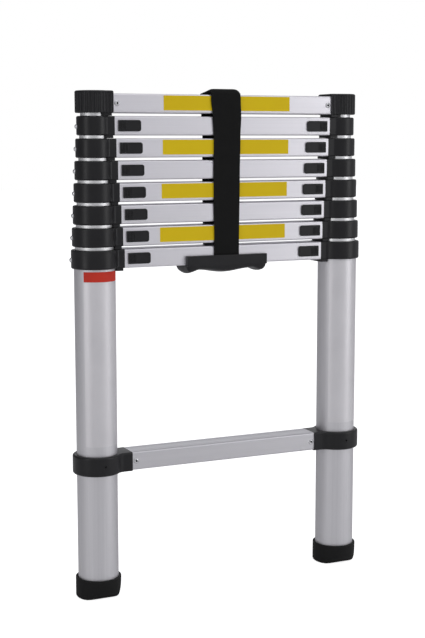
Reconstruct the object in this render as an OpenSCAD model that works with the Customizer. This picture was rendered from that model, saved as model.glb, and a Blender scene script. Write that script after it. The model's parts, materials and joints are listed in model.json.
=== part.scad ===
// Telescoping ladder, closed, standing on its feet. Millimetres, +Z up, front toward -Y, rungs along X.
// The origin is on the floor, midway between the two stiles. Sections count from 1 (lowest) to 8 (top).
// Each section is a pair of tubes with a rung. Rung 0 is the fixed rung near the feet.

/* [Overall] */
// Distance between the axes of the two stiles
stile_span = 400; // [340:1:480]
// Height of the underside of the lowest rung of the closed stack
stack_z = 485; // [440:1:560]
// Gap between one rung and the next in the closed stack
stack_gap = 4.2; // [2:0.1:8]
// Rung spacing of the extended ladder
step_pitch = 297.8; // [240:0.1:320]

/* [Tubes] */
// Outer diameter of the lowest tube
tube_od = 59.4; // [56:0.1:72]
// Difference in outer diameter from one tube to the next
tube_step = 3.4; // [3.2:0.1:4]
// Wall of every tube
tube_wall = 1.2; // [0.9:0.1:1.4]
// Length of a tube that stays below the lock hole
tube_tail = 35; // [28:1:45]

/* [Rungs] */
// Depth of a rung, front to back
rung_d = 37.6; // [34:0.2:46]
// Height of a rung
rung_h = 27.2; // [24:0.2:34]
// Wall of a rung
rung_wall = 1.8; // [1.4:0.1:2.4]
// Outer corner radius of a rung
rung_corner = 2.4; // [2:0.1:4]
// Distance of the line grooves from the rung's edges
groove_inset = 3.4; // [3:0.1:5]
// Width of a line groove
groove_w = 0.9; // [0.5:0.1:1.4]
// Depth of a line groove
groove_t = 0.4; // [0.2:0.1:0.8]

/* [Collars] */
// Thickness of a collar's barrel around its tube
collar_wall = 4; // [3:0.1:6]
// Length of the lowest collar's neck beyond its barrel
neck_len = 5.5; // [4.5:0.1:12]
// How much shorter the neck is from one section to the next
neck_len_step = 0.5; // [0:0.1:0.6]
// Radius of the blend between barrel and neck
neck_fillet = 6; // [3:0.5:9]
// Height of the lip that covers the tube's upper end
lip_h = 2.4; // [1.5:0.1:4]
// How far the spacer under the neck stays back from the neck's end and faces
spacer_inset = 1.4; // [0.5:0.1:3]
// Length of the tongue inside the rung
tongue_len = 10; // [8:1:14]

/* [Top caps] */
// Thickness of a top cap around its tube
cap_wall = 7.5; // [6:0.1:10]
// Height of the cap's top above the top rung
cap_rise = 3.2; // [1:0.1:6]
// How far the cap stands out beyond the rung's face
cap_shoulder = 2.2; // [0.5:0.1:3.5]
// Number of flutes around a cap
flute_count = 22; // [12:1:30]
// Radius of a flute
flute_r = 1; // [0.6:0.1:1.4]

/* [Bottom clamps] */
// Thickness of a clamp around the lowest tube
clamp_wall = 6; // [4:0.1:9]
// Length of a clamp's neck beyond its ring
clamp_neck_len = 12.3; // [9:0.1:24]
// How far the clamp's neck stands out beyond the rung's face
clamp_shoulder = 1.6; // [0:0.1:4]
// How far a clamp reaches below the fixed rung
clamp_drop = 1.2; // [0:0.1:3]
// Radius of the dimple on the clamp's front
dimple_r = 1.6; // [1:0.1:3]

/* [Feet] */
// Thickness of a foot around the lowest tube
foot_wall = 2.7; // [2:0.1:5]
// Height of a foot
foot_h = 30; // [24:1:40]
// Thickness of the sole under the tube
sole_t = 11; // [10:0.5:14]
// Half depth of the flat sole, front to back
sole_half_d = 21; // [18:0.5:26]
// Half width of the flat sole
sole_half_w = 26; // [22:0.5:29]
// Height of the bevel around the sole
sole_bevel_h = 13; // [8:0.5:20]

/* [Latches] */
// Length of a latch's thumb plate
latch_len = 32.5; // [28:0.5:42]
// Height of a latch's thumb plate
latch_h = 16; // [12:0.2:20]
// Thickness of a latch's thumb plate
latch_t = 2.2; // [1.5:0.1:4]
// Distance from the rung end to the thumb plate
latch_inset = 6.7; // [3:0.1:8]
// Corner radius at the inner end of the thumb plate
latch_corner = 3.5; // [1:0.1:6]
// Travel of a latch toward the middle of the rung
latch_travel = 8; // [5:0.5:10]
// Diameter of a lock pin
pin_d = 7; // [5:0.2:9]
// Length of a lock spring with the ladder closed
spring_len = 22; // [18:1:28]
// Outer diameter of a lock spring
spring_d = 10; // [8:0.5:13]

/* [Rivets] */
// Diameter of a blind rivet's head
rivet_head_d = 7.6; // [5:0.1:10]
// Diameter of a blind rivet's shank
rivet_d = 4; // [3:0.1:5]
// Distance from the rung end to the rivet
rivet_inset = 6; // [5:0.1:8]

/* [Strap and handle] */
// Width of the strap
strap_w = 46; // [30:1:60]
// Thickness of the strap
strap_t = 2; // [1.2:0.1:3]
// Clear height between the strap and the top rung, front
strap_rise_front = 5; // [2:0.1:9]
// Clear height between the strap and the top rung, rear
strap_rise_rear = 1; // [0.4:0.1:3]
// Bend radius of the strap at the top, front
strap_bend = 6; // [4:0.5:9]
// Length of the handle
handle_len = 130; // [110:1:160]
// Height of the handle's lips on the rung
handle_lip_h = 13.6; // [11:0.2:18]
// Thickness of the handle's lips
handle_lip_t = 6; // [5:0.2:9]
// Thickness of the grip in the finger grooves
grip_t = 7; // [5:0.5:10]
// How far the lobes stand below the finger grooves
lobe_drop = 4; // [2:0.5:7]
// Distance from the middle to a finger groove
groove_x = 40; // [34:1:44]
// Depth of the pockets that hold the strap ends
pocket_h = 10; // [6:0.5:10]

/* [Clearances] */
// Gap of pieces that are fixed to each other
fit = 0.05; // [0.02:0.01:0.1]
// Gap between parts that slide past each other
slide_gap = 0.3; // [0.2:0.05:0.5]
// Radial gap of a guide bush in its tube
guide_gap = 0.1; // [0.05:0.01:0.1]

/* [Hidden] */
$fn = 72;
over = 1;
section_count = 8;
sections = [1 : section_count];
locked_sections = [1 : section_count - 1];
sliding_sections = [2 : section_count];
sides = ["left", "right"];

closed_pitch = rung_h + stack_gap;
travel = step_pitch - closed_pitch;
half_span = stile_span / 2;
rung_half_d = rung_d / 2;
inner_half_d = rung_half_d - rung_wall - fit;
inner_half_h = rung_h / 2 - rung_wall - fit;
spacer_h = stack_gap - slide_gap;
clamp_r = tube_od / 2 + clamp_wall;
foot_r = tube_od / 2 + foot_wall;
cap_r = tube_r(section_count) + cap_wall;
cap_half_d = rung_half_d + cap_shoulder;
clamp_half_d = rung_half_d + clamp_shoulder;
cap_top_z = rung_z(section_count) + rung_h + cap_rise;

bush_plug_h = 14;
bush_flange_h = 6;
bush_wall = 2.4;

cradle_floor_t = 3;
cradle_wall_t = 3;
carriage_gap = 3;
carriage_len = 18;
carriage_half_d = 9;
stem_len = 12;
stem_h = 10;
pin_tail_len = 10;
pin_tail_d = 4.8;
spring_wire = 1.6;
ridge_count = 5;
ridge_pitch = 2.2;
ridge_w = 1;
ridge_t = 0.5;

carriage_start = tongue_len + carriage_gap;
carriage_end = carriage_start + carriage_len;
stem_start = carriage_start + (carriage_len - stem_len) / 2;
cradle_end = carriage_end + spring_len;
carriage_floor_z = -inner_half_h + cradle_floor_t + slide_gap;
carriage_h = inner_half_h - cradle_wall_t - carriage_floor_z;

rivet_head_t = 1.2;
rivet_depth = 5;
rivet_hole_r = 1.1;
dimple_t = 2;

strap_gap = 0.4;
strap_inner = rung_half_d + strap_gap;
strap_outer = strap_inner + strap_t;
strap_bottom_z = rung_z(1) + handle_lip_h - pocket_h;
rung_top_z = rung_z(section_count) + rung_h;
strap_bend_rear = rung_corner + strap_rise_rear;
strap_front_c = [strap_bend - strap_inner, rung_top_z + strap_rise_front - strap_bend];
strap_rear_c = [strap_inner - strap_bend_rear, rung_top_z + strap_rise_rear - strap_bend_rear];
strap_run = strap_rear_c - strap_front_c;
strap_normal = atan2(strap_run.y, strap_run.x) + acos((strap_bend - strap_bend_rear) / norm(strap_run));
lip_inner = rung_half_d + slide_gap;
lip_outer = lip_inner + handle_lip_t;
lobe_r = 16;

// Outer radius of the tube of section k
function tube_r(k) = tube_od / 2 - (k - 1) * tube_step / 2;
// Underside of rung k, where rung 0 is the fixed one
function rung_z(k) = k == 0 ? stack_z - step_pitch : stack_z + (k - 1) * closed_pitch;
// Height of a rung's middle
function mid_z(k) = rung_z(k) + rung_h / 2;
// Distance from the stile axis to the end of rung k
function neck_end(k) =
    k == 0 ? clamp_r + clamp_neck_len : tube_r(k) + collar_wall + neck_len - (k - 1) * neck_len_step;
// Lower and upper end of a tube
function tube_bottom(k) = k == 1 ? sole_t : lock_hole_z(k) - tube_tail;
function tube_top(k) = (k == section_count ? cap_top_z : rung_z(k) + rung_h) - lip_h;
// Height of the lock hole of tube k with the ladder closed
function lock_hole_z(k) = mid_z(k - 1) - travel;
// Points of an arc around c from angle a0 to a1
function arc(c, r, a0, a1, n = 6) =
    [for (i = [0 : n]) c + r * [cos(a0 + (a1 - a0) * i / n), sin(a0 + (a1 - a0) * i / n)]];

// Puts a stile-side piece in place: the stile axis becomes the Z axis, +X points to the other stile
module at_stile(side) {
    mirror_x = side == "left" ? 0 : 1;
    mirror([mirror_x, 0, 0]) translate([-half_span, 0, 0]) children();
}

module both_stiles() {
    for (side = sides) at_stile(side) children();
}

// A cylinder along +X from x0 to x1 at height z
module bar_x(x0, x1, r, z = 0) {
    translate([x0, 0, z]) rotate([0, 90, 0]) cylinder(r = r, h = x1 - x0);
}

// A box given by its lower and upper corner
module box(low, high) {
    translate(low) cube(high - low);
}

// Plan of a collar: a round barrel, a neck toward the rung and blends between the two
module collar_plan(barrel_r, reach, half_d, fillet) {
    circle(r = barrel_r);
    translate([0, -half_d]) square([reach, 2 * half_d]);
    if (barrel_r > half_d) for (flip = [0, 1]) mirror([0, flip]) difference() {
        blend_x = sqrt(pow(barrel_r + fillet, 2) - pow(half_d + fillet, 2));
        touch = barrel_r / (barrel_r + fillet) * [blend_x, half_d + fillet];
        polygon([[0, 0], [blend_x, 0], [blend_x, half_d], touch]);
        translate([blend_x, half_d + fillet]) circle(r = fillet);
    }
}

// The block that fills the gap under a neck and rests on the collar below
module spacer(k, half_d) {
    z = rung_z(k);
    far = neck_end(k) - spacer_inset;
    box([0, -half_d + spacer_inset, z - spacer_h], [far, half_d - spacer_inset, z + over]);
}

// The tongue that plugs into the end of rung k
module tongue(k, length) {
    end = neck_end(k);
    translate([0, 0, mid_z(k)])
        box([end - over, -inner_half_d, -inner_half_h], [end + length, inner_half_d, inner_half_h]);
}

// Places its children on the front and rear face of rung k, at the rivet, pointing into the rung
module at_rivets(k) {
    x = neck_end(k) + rivet_inset;
    for (flip = [0, 1])
        translate([x, 0, mid_z(k)]) mirror([0, flip, 0]) translate([0, -rung_half_d, 0])
            rotate([-90, 0, 0]) children();
}

module rivet_holes(k) {
    at_rivets(k) translate([0, 0, -over]) cylinder(d = rivet_d + 2 * fit, h = rivet_depth + over + fit);
}

// Blind rivets at both ends of rung k
module rivets(k) {
    both_stiles() at_rivets(k) difference() {
        union() {
            translate([0, 0, -rivet_head_t]) cylinder(d = rivet_head_d, h = rivet_head_t);
            cylinder(d = rivet_d, h = rivet_depth);
        }
        translate([0, 0, -rivet_head_t - over]) cylinder(r = rivet_hole_r, h = rivet_depth + over);
    }
}

module bottom_rivets() {
    color("gainsboro") rivets(0);
}

module top_rivets() {
    color("gainsboro") rivets(section_count);
}

// A foot: a cup on the tube's lower end whose sole is bevelled on all four sides
module feet() {
    color([0.12, 0.12, 0.13]) both_stiles() difference() {
        cylinder(r = foot_r, h = foot_h);
        translate([0, 0, sole_t]) cylinder(r = tube_r(1) + fit, h = foot_h);
        for (turn = [0, 180]) rotate([0, 0, turn]) {
            sole_bevel(sole_half_w);
            rotate([0, 0, 90]) sole_bevel(sole_half_d);
        }
    }
}

// The wedge that is cut off the sole beyond the distance x
module sole_bevel(x) {
    lean = atan((foot_r - x) / sole_bevel_h);
    translate([x, -foot_r - over, 0]) rotate([0, lean, 0])
        translate([0, 0, -foot_h]) cube([foot_r, 2 * (foot_r + over), 3 * foot_h]);
}

// A clamp that holds one end of the fixed rung on the lowest tube
module bottom_clamps() {
    low = rung_z(0) - clamp_drop;
    color([0.13, 0.13, 0.14]) both_stiles() difference() {
        union() {
            translate([0, 0, low]) linear_extrude(rung_h + clamp_drop)
                collar_plan(clamp_r, neck_end(0), clamp_half_d, neck_fillet);
            tongue(0, tongue_len);
        }
        translate([0, 0, low - over]) cylinder(r = tube_r(1) + fit, h = rung_h + clamp_drop + 2 * over);
        rivet_holes(0);
        translate([0, -clamp_r - over, mid_z(0)]) rotate([-90, 0, 0])
            cylinder(r = dimple_r, h = dimple_t + over);
    }
}

// A collar of section k: holds the tube's upper end, the rung and the lock
module collars(k) {
    low = rung_z(k);
    end = neck_end(k);
    barrel_r = tube_r(k) + collar_wall;
    color([0.13, 0.13, 0.14]) both_stiles() difference() {
        union() {
            translate([0, 0, low]) linear_extrude(rung_h)
                collar_plan(barrel_r, end, rung_half_d, neck_fillet);
            spacer(k, rung_half_d);
            tongue(k, tongue_len);
            lock_cradle(k);
        }
        translate([0, 0, low - spacer_h - over])
            cylinder(r = tube_r(k) + fit, h = tube_top(k) + fit - low + spacer_h + over);
        translate([0, 0, low]) cylinder(r = tube_r(k + 1) + slide_gap, h = rung_h + over);
        bar_x(0, end + tongue_len + over, pin_d / 2 + slide_gap, mid_z(k));
    }
}

// The floor and end wall inside the rung that carry the lock spring
module lock_cradle(k) {
    end = neck_end(k);
    translate([end, 0, mid_z(k)]) {
        box([-over, -inner_half_d, -inner_half_h],
            [cradle_end + cradle_wall_t, inner_half_d, -inner_half_h + cradle_floor_t]);
        box([cradle_end, -inner_half_d, -inner_half_h],
            [cradle_end + cradle_wall_t, inner_half_d, inner_half_h]);
    }
}

// Plan of a top cap: round outside, cut flat at the rung end with square shoulders
module cap_plan(end) {
    intersection() {
        circle(r = cap_r);
        translate([-cap_r, -cap_r]) square([cap_r + end, 2 * cap_r]);
    }
    translate([0, -cap_half_d]) square([end, 2 * cap_half_d]);
}

// A fluted cap that closes the top tube and holds the top rung
module top_caps() {
    k = section_count;
    low = rung_z(k);
    end = neck_end(k);
    flute_reach = 150;
    color([0.13, 0.13, 0.14]) both_stiles() difference() {
        union() {
            translate([0, 0, low]) linear_extrude(cap_top_z - low) cap_plan(end);
            spacer(k, rung_half_d);
            tongue(k, tongue_len);
        }
        translate([0, 0, low - spacer_h - over])
            cylinder(r = tube_r(k) + fit, h = tube_top(k) + fit - low + spacer_h + over);
        for (i = [0 : flute_count - 1])
            rotate([0, 0, 180 - flute_reach + 2 * flute_reach * (i + 0.5) / flute_count])
                translate([cap_r + flute_r / 2, 0, low - over])
                    cylinder(r = flute_r, h = cap_top_z - low - over);
        rivet_holes(k);
    }
}

// The tubes of section k, with the hole for its own lock pin and the hole that the pin below locks into
module stile_tubes(k) {
    low = tube_bottom(k);
    color("silver") both_stiles() difference() {
        translate([0, 0, low]) cylinder(r = tube_r(k), h = tube_top(k) - low);
        translate([0, 0, low - over]) cylinder(r = tube_r(k) - tube_wall, h = tube_top(k) - low + 2 * over);
        if (k < section_count) bar_x(0, tube_r(k) + over, pin_d / 2 + slide_gap, mid_z(k));
        if (k > 1) bar_x(0, tube_r(k) + over, pin_d / 2 + slide_gap, lock_hole_z(k));
    }
}

// The bush at the lower end of tube k that guides it inside the tube below
module guide_bushes(k) {
    end = tube_bottom(k);
    plug_r = tube_r(k) - tube_wall - fit;
    flange_r = tube_r(k - 1) - tube_wall - guide_gap;
    color("whitesmoke") both_stiles() difference() {
        union() {
            translate([0, 0, end - bush_flange_h]) cylinder(r = flange_r, h = bush_flange_h);
            translate([0, 0, end - over]) cylinder(r = plug_r, h = bush_plug_h + over);
        }
        translate([0, 0, end - bush_flange_h - over])
            cylinder(r = plug_r - bush_wall, h = bush_flange_h + bush_plug_h + 2 * over);
    }
}

// Cross section of a rung, X to the front and Y up, with line grooves on the faces and the tread
module rung_section() {
    difference() {
        rounded_rect(rung_half_d, rung_h / 2, rung_corner);
        square([rung_d - 2 * rung_wall, rung_h - 2 * rung_wall], center = true);
        for (side_x = [-1, 1], side_y = [-1, 1])
            translate([side_x * rung_half_d, side_y * (rung_h / 2 - groove_inset)])
                square([2 * groove_t, groove_w], center = true);
        for (side_x = [-1, 1])
            translate([side_x * rung_half_d / 2, rung_h / 2])
                square([groove_w, 2 * groove_t], center = true);
    }
}

module rounded_rect(half_w, half_h, r) {
    square([2 * half_w - 2 * r, 2 * half_h], center = true);
    square([2 * half_w, 2 * half_h - 2 * r], center = true);
    for (x = [-1, 1], y = [-1, 1])
        translate([x * (half_w - r), y * (half_h - r)]) circle(r = r);
}

// Rung k between its two necks, with slots for the latch stems or holes for the rivets
module rung(k) {
    half_len = half_span - neck_end(k);
    locked = k > 0 && k < section_count;
    slot_x = neck_end(k) + stem_start - slide_gap;
    slot_len = stem_len + latch_travel + 2 * slide_gap;
    slot_h = stem_h + 2 * slide_gap;
    color("lightsteelblue") difference() {
        translate([-half_len, 0, mid_z(k)]) rotate([90, 0, 90]) linear_extrude(2 * half_len) rung_section();
        if (locked) both_stiles()
            translate([slot_x, -rung_half_d - over, mid_z(k) - slot_h / 2])
                cube([slot_len, rung_wall + 2 * over, slot_h]);
        else both_stiles() rivet_holes(k);
    }
}

// A latch: the thumb plate on the rung's face, the carriage inside the rung and the lock pin
module latch(k, side) {
    end = neck_end(k);
    color([0.15, 0.15, 0.16]) at_stile(side) translate([0, 0, mid_z(k)]) {
        difference() {
            translate([end, 0, 0]) latch_slider();
            bar_x(end, end + carriage_end + over, pin_d / 2 + fit);
        }
        bar_x(tube_r(k + 1) + slide_gap, end + carriage_end, pin_d / 2);
        bar_x(end + carriage_end - over, end + carriage_end + pin_tail_len, pin_tail_d / 2);
    }
}

// The slider of a latch, measured from the rung end
module latch_slider() {
    face = -rung_half_d - slide_gap;
    translate([latch_inset, face, 0]) rotate([90, 0, 0]) linear_extrude(latch_t) thumb_plate();
    for (i = [0 : ridge_count - 1])
        translate([latch_inset + (i + 1) * ridge_pitch, face - latch_t - ridge_t, ridge_pitch - latch_h / 2])
            cube([ridge_w, ridge_t + over, latch_h - 2 * ridge_pitch]);
    box([stem_start, face - latch_t + over, -stem_h / 2], [stem_start + stem_len, 0, stem_h / 2]);
    box([carriage_start, -carriage_half_d, carriage_floor_z],
        [carriage_end, carriage_half_d, carriage_floor_z + carriage_h]);
}

// Outline of a thumb plate: square at the rung end, rounded at the inner end
module thumb_plate() {
    translate([0, -latch_h / 2]) square([latch_len - latch_corner, latch_h]);
    translate([0, -latch_h / 2 + latch_corner]) square([latch_len, latch_h - 2 * latch_corner]);
    for (y = [-1, 1])
        translate([latch_len - latch_corner, y * (latch_h / 2 - latch_corner)]) circle(r = latch_corner);
}

// The springs that push the lock pins of section k outward, each as the sleeve that its coils fill
module lock_springs(k) {
    color("gray") both_stiles() translate([neck_end(k), 0, mid_z(k)]) difference() {
        bar_x(carriage_end + fit, cradle_end - fit, spring_d / 2);
        bar_x(carriage_end - over, cradle_end + over, spring_d / 2 - spring_wire);
    }
}

// Side view of the strap's inner line, or of the line that far outside it, X to the rear and Y up
module strap_side(outside) {
    half_d = strap_inner + outside;
    polygon(concat(
        [[-half_d, strap_bottom_z]],
        arc(strap_front_c, strap_bend + outside, 180, strap_normal),
        arc(strap_rear_c, strap_bend_rear + outside, strap_normal, 0),
        [[half_d, strap_bottom_z]]
    ));
}

// The strap over the closed stack, with its ends in the handle's pockets
module strap() {
    color([0.1, 0.1, 0.1]) translate([-strap_w / 2, 0, 0]) rotate([90, 0, 90]) linear_extrude(strap_w)
        difference() {
            strap_side(strap_t);
            strap_side(0);
            translate([-strap_inner, strap_bottom_z - over]) square([2 * strap_inner, 2 * over]);
        }
}

// Front view of the grip under the rung: a broad middle lobe, two finger grooves and two end lobes
module grip_front() {
    top = rung_z(1) - slide_gap;
    low = top - grip_t;
    half_len = handle_len / 2;
    middle_r = (pow(groove_x, 2) + pow(lobe_drop, 2)) / (2 * lobe_drop);
    translate([-half_len, low]) square([handle_len, grip_t]);
    intersection() {
        translate([0, low - lobe_drop + middle_r]) circle(r = middle_r);
        translate([-groove_x, low - lobe_drop]) square([2 * groove_x, lobe_drop + over]);
    }
    for (side_x = [-1, 1]) intersection() {
        translate([side_x * (half_len - lobe_r / 2), low - lobe_drop + lobe_r]) circle(r = lobe_r);
        translate([-half_len, low - lobe_drop]) square([handle_len, lobe_drop + over]);
    }
}

// The handle: a channel around the lowest stack rung with a grip below and pockets for the strap
module handle() {
    half_len = handle_len / 2;
    top = rung_z(1) - slide_gap;
    pocket_half_w = strap_w / 2 + slide_gap;
    color([0.14, 0.14, 0.15]) difference() {
        union() {
            translate([0, lip_outer, 0]) rotate([90, 0, 0]) linear_extrude(2 * lip_outer) grip_front();
            for (flip = [0, 1]) mirror([0, flip, 0])
                box([-half_len, lip_inner, top - over], [half_len, lip_outer, rung_z(1) + handle_lip_h]);
        }
        for (flip = [0, 1]) mirror([0, flip, 0])
            box([-pocket_half_w, lip_inner - over, strap_bottom_z - slide_gap],
                [pocket_half_w, strap_outer + slide_gap, rung_z(1) + handle_lip_h + over]);
    }
}

feet();
bottom_clamps();
rung(0);  // bottom_rung
bottom_rivets();
top_caps();
top_rivets();
strap();
handle();
for (k = sections)
    rung(k);
for (k = sections)
    stile_tubes(k);
for (k = sliding_sections)
    guide_bushes(k);
for (k = locked_sections)
    collars(k);
for (k = locked_sections)
    lock_springs(k);
for (k = locked_sections, side = sides)
    latch(k, side);
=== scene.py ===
"""Looks of a closed telescoping ladder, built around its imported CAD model.

All pieces are in metres in the CAD frame: X runs along the rungs, -Y points to the front, Z is up, and the
origin is on the floor midway between the two stiles. What belongs to a stile is modelled on the left one and
mirrored to the right, or copied there in the case of the feet. Sections count from 1, the lowest, to 8.
"""

import json
import logging
import math
from dataclasses import dataclass, field
from enum import Enum
from typing import Any, Callable, Optional, Sequence, Union

import bmesh
import bpy
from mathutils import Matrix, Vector


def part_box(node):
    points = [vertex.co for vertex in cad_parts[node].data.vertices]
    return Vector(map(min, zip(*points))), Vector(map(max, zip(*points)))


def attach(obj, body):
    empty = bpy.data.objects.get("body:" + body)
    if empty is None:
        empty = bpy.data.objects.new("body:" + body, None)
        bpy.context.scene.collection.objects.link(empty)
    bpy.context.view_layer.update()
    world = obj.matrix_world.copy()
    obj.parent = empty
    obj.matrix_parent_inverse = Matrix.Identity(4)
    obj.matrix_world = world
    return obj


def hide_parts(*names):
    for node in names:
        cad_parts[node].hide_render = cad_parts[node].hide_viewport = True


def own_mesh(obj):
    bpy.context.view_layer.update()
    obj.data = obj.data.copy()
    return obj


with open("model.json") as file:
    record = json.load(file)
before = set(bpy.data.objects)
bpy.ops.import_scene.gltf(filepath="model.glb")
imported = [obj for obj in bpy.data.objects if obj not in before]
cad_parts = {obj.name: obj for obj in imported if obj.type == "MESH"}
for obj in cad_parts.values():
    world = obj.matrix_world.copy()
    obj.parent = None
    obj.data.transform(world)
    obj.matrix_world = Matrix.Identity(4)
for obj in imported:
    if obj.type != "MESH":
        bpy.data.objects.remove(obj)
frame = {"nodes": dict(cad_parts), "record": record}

Piece = bpy.types.Object
Socket = bpy.types.NodeSocket
Group = bpy.types.NodeTree
Spot = tuple[float, float]
Triple = tuple[float, float, float]
Colour = Triple
EdgeTest = Callable[[Vector, Vector], bool]

MM = 0.001
# Points nearer than this are one point
HAIR = 0.01 * MM
# How far a tool reaches past what it cuts or fuses
OVER = 1.0 * MM
# Play between a moulding and the tube or pin that it holds
FIT = 0.05 * MM
UNIT: Spot = (0.0, 1.0)
# The part of a noise's values that is stretched to the full range
CONTRAST: Spot = (0.3, 0.7)
SECTION_COUNT = 8
X_AXIS, Y_AXIS, Z_AXIS = Vector((1, 0, 0)), Vector((0, 1, 0)), Vector((0, 0, 1))
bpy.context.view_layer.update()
HALF_SPAN = abs(frame["record"]["mounts"][0]["pos_m"][0])
LOG = logging.getLogger("ladder")


class Slot(Enum):
    """The record's material slots."""

    TUBE = "tube_aluminium"
    RUNG = "rung_aluminium"
    PLASTIC = "black_plastic"
    RUBBER = "foot_rubber"
    NYLON = "white_nylon"
    SPRING = "spring_steel"
    RIVET = "rivet_metal"
    WEBBING = "strap_webbing"


class Side(Enum):
    """The two stiles."""

    LEFT = "left"
    RIGHT = "right"


class Mix(Enum):
    """How a tool acts on a piece."""

    FUSE = "UNION"
    CUT = "DIFFERENCE"


class Plane(Enum):
    """The plane that an outline is drawn in, as its directions to the right and up."""

    PLAN = ((1, 0, 0), (0, 1, 0))
    FRONT = ((1, 0, 0), (0, 0, 1))

    @property
    def right(self) -> Vector:
        """The direction to the right on the sheet."""
        return Vector(self.value[0])

    @property
    def up(self) -> Vector:
        """The direction up the sheet."""
        return Vector(self.value[1])

    @property
    def out(self) -> Vector:
        """The direction out of the sheet, toward the eye."""
        return self.right.cross(self.up)


class Bench:
    """The modelling bench: single hand operations on one piece."""

    @staticmethod
    def clear() -> None:
        """Leaves edit mode and lets go of everything."""
        active = bpy.context.object
        if active is not None and active.mode != "OBJECT":
            bpy.ops.object.mode_set(mode="OBJECT")
        bpy.ops.object.select_all(action="DESELECT")

    @staticmethod
    def take(piece: Piece) -> None:
        """Selects one piece and nothing else.

        Args:
            piece: The piece.
        """
        Bench.clear()
        piece.select_set(True)
        bpy.context.view_layer.objects.active = piece

    @staticmethod
    def open(piece: Piece, chosen: bool) -> None:
        """Opens a piece for editing by its edges.

        Args:
            piece: The piece.
            chosen: Whether all of it is selected, or nothing.
        """
        Bench.take(piece)
        bpy.ops.object.mode_set(mode="EDIT")
        bpy.ops.mesh.select_mode(type="EDGE")
        bpy.ops.mesh.select_all(action="SELECT" if chosen else "DESELECT")

    @staticmethod
    def settle(piece: Piece, name: str) -> Piece:
        """Puts a piece's place and size into its mesh.

        Args:
            piece: The piece that was just added or moved.
            name: Its new name.

        Returns:
            The same piece, at the origin.
        """
        Bench.take(piece)
        bpy.ops.object.transform_apply(location=True, rotation=True, scale=True)
        piece.name = name
        piece.data.name = name
        return piece

    @staticmethod
    def block(name: str, low: Sequence[float], high: Sequence[float]) -> Piece:
        """Adds a block.

        Args:
            name: The block's name.
            low: Its lowest corner.
            high: Its highest corner.

        Returns:
            The block.
        """
        Bench.clear()
        middle = (Vector(low) + Vector(high)) / 2
        bpy.ops.mesh.primitive_cube_add(size=1, location=middle)
        bpy.ops.transform.resize(value=Vector(high) - Vector(low))
        return Bench.settle(bpy.context.object, name)

    @staticmethod
    def rod(name: str, start: Sequence[float], end: Sequence[float], radius: float, sides: int = 48) -> Piece:
        """Adds a round rod between two points.

        Args:
            name: The rod's name.
            start: The middle of its first end.
            end: The middle of its other end.
            radius: Its radius.
            sides: Number of flats around it.

        Returns:
            The rod.
        """
        Bench.clear()
        run = Vector(end) - Vector(start)
        bpy.ops.mesh.primitive_cylinder_add(
            vertices=sides,
            radius=radius,
            depth=run.length,
            location=(Vector(start) + Vector(end)) / 2,
            rotation=run.to_track_quat("Z", "Y").to_euler(),
        )
        return Bench.settle(bpy.context.object, name)

    @staticmethod
    def drape(name: str, columns: int, rows: int, rule: Callable[[float, float], Triple]) -> Piece:
        """Shapes a sheet of cells by a rule.

        Args:
            name: The sheet's name.
            columns: Number of cells in its first direction.
            rows: Number of cells in its second direction.
            rule: Says where a point goes from its place in both directions, each from -1 to 1.

        Returns:
            The shaped sheet.
        """
        Bench.clear()
        bpy.ops.mesh.primitive_grid_add(x_subdivisions=columns, y_subdivisions=rows, size=2)
        piece = Bench.settle(bpy.context.object, name)
        for point in piece.data.vertices:
            point.co = rule(point.co.x, point.co.y)
        return piece

    @staticmethod
    def soften(piece: Piece, width: float, steps: int, test: EdgeTest) -> Piece:
        """Rounds some edges of a piece.

        Args:
            piece: The piece.
            width: Width of the rounding.
            steps: Number of flats across it.
            test: Says for the two ends of an edge whether it is rounded.

        Returns:
            The same piece.
        """
        Bench.open(piece, chosen=False)
        mesh = bmesh.from_edit_mesh(piece.data)
        chosen = [edge for edge in mesh.edges if test(edge.verts[0].co, edge.verts[1].co)]
        for edge in chosen:
            edge.select_set(True)
        bmesh.update_edit_mesh(piece.data)
        if chosen:
            bpy.ops.mesh.bevel(offset=width, segments=steps, profile=0.5, affect="EDGES")
        Bench.clear()
        return piece

    @staticmethod
    def soften_sharp(piece: Piece, width: float, steps: int, degrees: float) -> Piece:
        """Rounds every edge of a piece that is sharper than an angle.

        Args:
            piece: The piece.
            width: Width of the rounding.
            steps: Number of flats across it.
            degrees: The angle between two faces above which their edge is rounded.

        Returns:
            The same piece.
        """
        Bench.open(piece, chosen=False)
        bpy.ops.mesh.edges_select_sharp(sharpness=math.radians(degrees))
        bpy.ops.mesh.bevel(offset=width, segments=steps, profile=0.5, affect="EDGES")
        Bench.clear()
        return piece

    @staticmethod
    def modify(piece: Piece, kind: str, **settings: Any) -> Piece:
        """Adds a modifier and applies it.

        Args:
            piece: The piece.
            kind: The modifier's type.
            **settings: The modifier's settings.

        Returns:
            The same piece.
        """
        Bench.take(piece)
        bpy.ops.object.modifier_add(type=kind)
        modifier = piece.modifiers[-1]
        for name, value in settings.items():
            setattr(modifier, name, value)
        bpy.ops.object.modifier_apply(modifier=modifier.name)
        return piece

    @staticmethod
    def combine(piece: Piece, tool: Piece, mix: Mix, crossing: bool = False) -> Piece:
        """Fuses a tool to a piece or cuts it out of it, and uses the tool up.

        Args:
            piece: The piece that stays.
            tool: The piece that is used up.
            mix: Whether to fuse or to cut.
            crossing: Whether the tool's own parts run into each other.

        Returns:
            The piece.
        """
        Bench.modify(piece, "BOOLEAN", operation=mix.value, object=tool, solver="EXACT", use_self=crossing)
        Bench.discard(tool)
        return piece

    @staticmethod
    def discard(*pieces: Piece) -> None:
        """Throws tools and patterns away."""
        for piece in pieces:
            bpy.data.meshes.remove(piece.data)

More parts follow.
